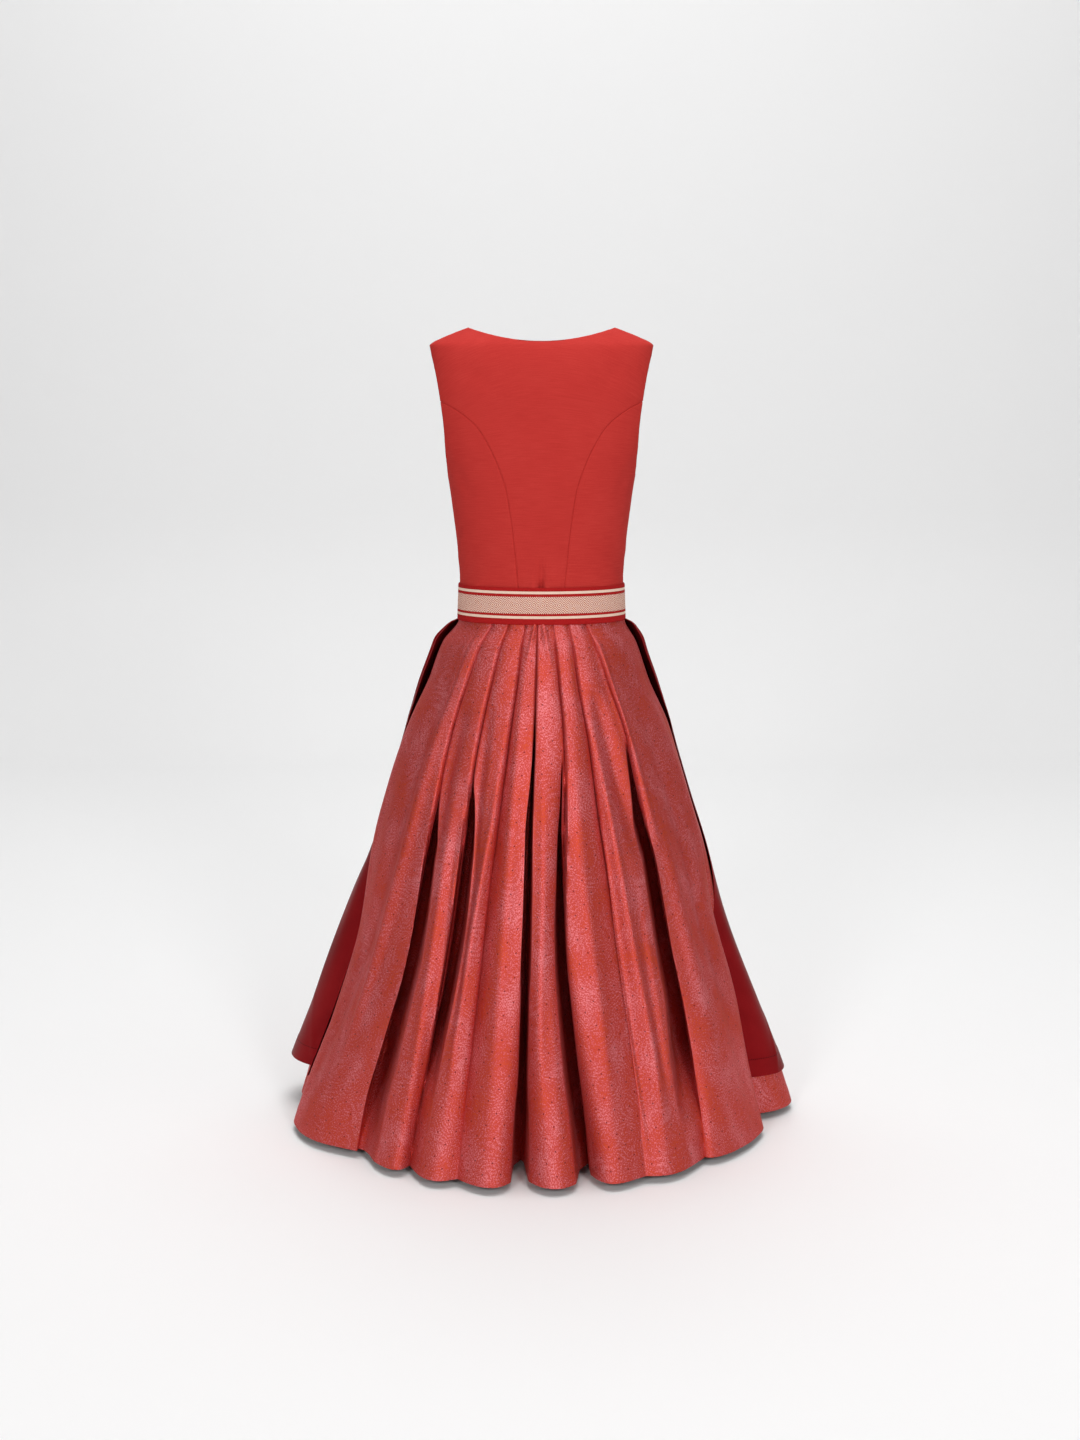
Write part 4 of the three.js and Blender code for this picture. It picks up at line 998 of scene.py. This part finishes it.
# Two rows of gathers of different widths, so that no two stand alike.
gathers = np.sin(2 * np.pi * GATHERS * u) + 0.6 * np.sin(2 * np.pi * GATHERS * 1.63 * u + 1.1)
fade = smooth(APRON_TOP_Z, GATHERS_GROW_TO_Z, z) * (1 - smooth(*GATHERS_FADE, z))
rise = GATHER_RISE * (gathers + 1.0) * fade + creased(u, z, APRON_CREASES, apron_at)
above_hem = z - APRON_HEM_Z
step = smooth(APRON_HEM_DEPTH - APRON_HEM_EASE, APRON_HEM_DEPTH + APRON_HEM_EASE, above_hem)
points = moved_out(points, rise + APRON_HEM_STEP * (1 - step))
across, _, up, _ = edge_distances(points)
across = across - across[:, APRON_COLUMNS // 2 : APRON_COLUMNS // 2 + 1]
apron = cloth_sheet("apron_cloth", points, np.stack([across, up], axis=-1), APRON_CLOTH,
                    [apron_right_side, apron_wrong_side])
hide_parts("apron_panel")

# ---- the band ----
# A woven ribbon 54 mm wide that hides the waist seam and the top of the apron: cream on red, with
# a row of dotted diamonds among zigzags. Its end laps over its start at the front.
BAND_TOP_Z = -0.377
BAND_BOTTOM_Z = -0.431
BAND_END_TURN = 190
BAND_LAP_TURN = np.degrees(0.038 / 0.110)
BAND_LAP_RISE = 0.0019
BAND_RAMP_TURN = 6
BAND_CLOTH = 0.0016
BAND_BOTTOM = (0.125, 0.0928, 0.0958)
BAND_TOP = (0.1234, 0.0906, 0.0964)
BAND_EDGE = {"drop": 0.0006, "width": 0.0022}
BAND_COLUMNS = 420
BAND_ROWS = 36
STRIPES = {"top": -0.3842, "bottom": -0.4202, "half": 0.0019}
MOTIF = {"middle": -0.4025, "half": 0.0128, "pitch": 0.0126, "lines": 4, "red_share": 0.36}


def band_at(turn, z, off):
    up = smooth(BAND_BOTTOM_Z, BAND_TOP_Z, z)
    half_width, back, front = (mix(low, high, up) for low, high in zip(BAND_BOTTOM, BAND_TOP))
    angle = np.radians(turn)
    x = half_width * np.sin(angle)
    y = np.where(np.cos(angle) < 0, front, back) * np.cos(angle)
    radius = np.hypot(x, y)
    scale = (radius + off) / radius
    return np.stack([x * scale, y * scale, z + 0 * x], axis=-1)


def ribbon(name):
    """The woven pattern, drawn on the ribbon's own length and height."""
    material, tree, shader = new_finish(name, 0.85, 0.08)
    long, high = across_and_along(tree)
    pitch = MOTIF["pitch"]
    spacing = pitch / MOTIF["lines"]

    def away_from(z):
        off = arithmetic(tree, "SUBTRACT", high, z - BAND_BOTTOM_Z)
        return arithmetic(tree, "ABSOLUTE", off)

    stripes = [arithmetic(tree, "LESS_THAN", away_from(STRIPES[edge]), STRIPES["half"])
               for edge in ("top", "bottom")]
    from_middle = away_from(MOTIF["middle"])
    turned = arithmetic(tree, "PINGPONG", long, pitch / 2)
    reach = arithmetic(tree, "ADD", turned, from_middle)
    # Lines parallel to the diamonds' sides, and a dot in each diamond. The field ends in teeth.
    phase = arithmetic(tree, "FRACT", arithmetic(tree, "DIVIDE", reach, spacing))
    not_line = arithmetic(tree, "GREATER_THAN", phase, MOTIF["red_share"])
    tooth = arithmetic(tree, "PINGPONG", long, spacing / 2)
    edge_of_field = arithmetic(tree, "ADD", from_middle, tooth)
    ground = arithmetic(tree, "LESS_THAN", edge_of_field, MOTIF["half"])
    field = arithmetic(tree, "MULTIPLY", ground, not_line)
    cream = arithmetic(tree, "MAXIMUM", field, arithmetic(tree, "MAXIMUM", *stripes))
    wobble = noise(tree, (900, 1400), 2, 0.6)
    red = ramp(tree, wobble, [(0.35, colour(164, 24, 26)), (0.65, colour(190, 36, 36))])
    pale = ramp(tree, wobble, [(0.35, colour(244, 206, 182)), (0.65, colour(255, 230, 212))])
    tree.links.new(blend(tree, cream, red, pale), shader.inputs["Base Color"])
    threads = weave(tree, 0.0008, 0.0008)
    relief(tree, shader, weighed(tree, (threads, 0.4), (cream, 1)), 0.0004, 0.8)
    return material


ribbon_right_side = ribbon("band_ribbon")
ribbon_wrong_side = linen("band_ribbon_inside", colour(150, 60, 52), colour(170, 84, 72),
                          colour(190, 110, 96))

z = np.linspace(BAND_BOTTOM_Z, BAND_TOP_Z, BAND_ROWS + 1)[:, None]
turn = np.linspace(BAND_END_TURN + BAND_LAP_TURN, BAND_END_TURN - 360, BAND_COLUMNS + 1)[None]
lift = BAND_LAP_RISE * smooth(BAND_END_TURN - BAND_RAMP_TURN, BAND_END_TURN, turn)
edge = np.minimum(z - BAND_BOTTOM_Z, BAND_TOP_Z - z)
rounding = BAND_EDGE["drop"] * (1 - np.clip(edge / BAND_EDGE["width"], 0, 1)) ** 2
points = band_at(turn + 0 * z, z + 0 * turn, BAND_CLOTH + lift - rounding)
across = edge_distances(points)[0]
flat = np.stack([across, z - BAND_BOTTOM_Z + 0 * across], axis=-1)
band = cloth_sheet("band_ribbon", points, flat, BAND_CLOTH, [ribbon_right_side, ribbon_wrong_side])
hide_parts("apron_band")

# ---- the room, the lights and the camera ----
# Pale paper that curves up far behind the dress, two small soft lights on either side behind the
# camera, three large ones overhead, and a camera at chest height that looks slightly down.
FLOOR_GAP = 0.012
FLOOR_Z = SKIRT_HEM_Z - FLOOR_GAP
AIR = {"light": 0.17, "look": 0.86}
ROOM = {"half_width": 4.6, "near": 4.8, "far": -3.9, "bend": 0.75, "height": 4.5}
PAPER_STEPS = 60
PAPER_CURVE = (0.4, 0.75)  # the shares of the paper's steps at which it starts and stops bending

material, _, shader = new_finish("studio_paper", 0.9, 0.1)
shader.inputs["Base Color"].default_value = (0.88, 0.88, 0.88, 1)
bpy.ops.mesh.primitive_grid_add(x_subdivisions=1, y_subdivisions=PAPER_STEPS, size=1)
room = bpy.context.object
room.name = "studio_room"
bends, bent = PAPER_CURVE
steps = np.linspace(0, 1, PAPER_STEPS + 1)
angle = np.clip((steps - bends) / (bent - bends), 0, 1) * np.pi / 2
y = mix(ROOM["near"], ROOM["far"] + ROOM["bend"], np.clip(steps / bends, 0, 1))
y = y - ROOM["bend"] * np.sin(angle)
climb = (ROOM["height"] - ROOM["bend"]) * np.clip((steps - bent) / (1 - bent), 0, 1)
z = FLOOR_Z + ROOM["bend"] * (1 - np.cos(angle)) + climb
corners = [(x, y[k], z[k]) for k in range(PAPER_STEPS + 1)
           for x in (ROOM["half_width"], -ROOM["half_width"])]
room.data.vertices.foreach_set("co", np.array(corners, np.float32).reshape(-1))
room.data.materials.append(material)
bpy.ops.object.shade_smooth()

world = bpy.context.scene.world or bpy.data.worlds.new("studio_air")
bpy.context.scene.world = world
world.use_nodes = True
nodes, links = world.node_tree.nodes, world.node_tree.links
air = nodes["Background"]
air.inputs["Color"].default_value = (1, 1, 1, 1)
# Past the paper the air itself looks as pale as the paper, but it lights the dress weakly.
seen = nodes.new("ShaderNodeLightPath").outputs["Is Camera Ray"]
strength = nodes.new("ShaderNodeMapRange")
strength.inputs["To Min"].default_value = AIR["light"]
strength.inputs["To Max"].default_value = AIR["look"]
links.new(seen, strength.inputs["Value"])
links.new(strength.outputs["Result"], air.inputs["Strength"])

LIGHTS = [
    # name, place, size, watts, the place that it faces
    ("left_softbox", (2.1, 5.6, 1.6), 1.1, 94, (0, 0, -0.7)),
    ("right_softbox", (-2.1, 5.6, 1.6), 1.1, 94, (0, 0, -0.7)),
    ("front_light", (-0.6, 2.6, 3.6), 2.4, 26, (-0.2, 1.6, -1.2)),
    ("floor_light", (-1.0, 1.0, 4.2), 3.6, 56, (-0.4, 0.4, -1.2)),
    ("wall_light", (0.2, -1.1, 4.2), 3.6, 150, (0, -1.3, -1.2)),
]
for name, place, size, watts, faced in LIGHTS:
    bpy.ops.object.light_add(type="AREA", location=place)
    light = bpy.context.object
    light.name = name
    light.data.size = size
    light.data.energy = watts
    aim = np.array(faced) - np.array(place)
    flat_length = math.hypot(aim[0], aim[1])
    light.rotation_euler = (math.pi / 2 + math.atan2(aim[2], flat_length), 0,
                            math.atan2(aim[1], aim[0]) - math.pi / 2)

CAMERA_PLACE = (0.00225, 3.0, -0.128)
CAMERA_PITCH = math.radians(8.67)
bpy.ops.object.camera_add(location=CAMERA_PLACE,
                          rotation=(math.pi / 2 - CAMERA_PITCH, 0, math.pi))
camera = bpy.context.object
camera.data.lens = 50
camera.data.sensor_width = 36
bpy.context.scene.camera = camera
bpy.context.scene.view_settings.view_transform = "Standard"
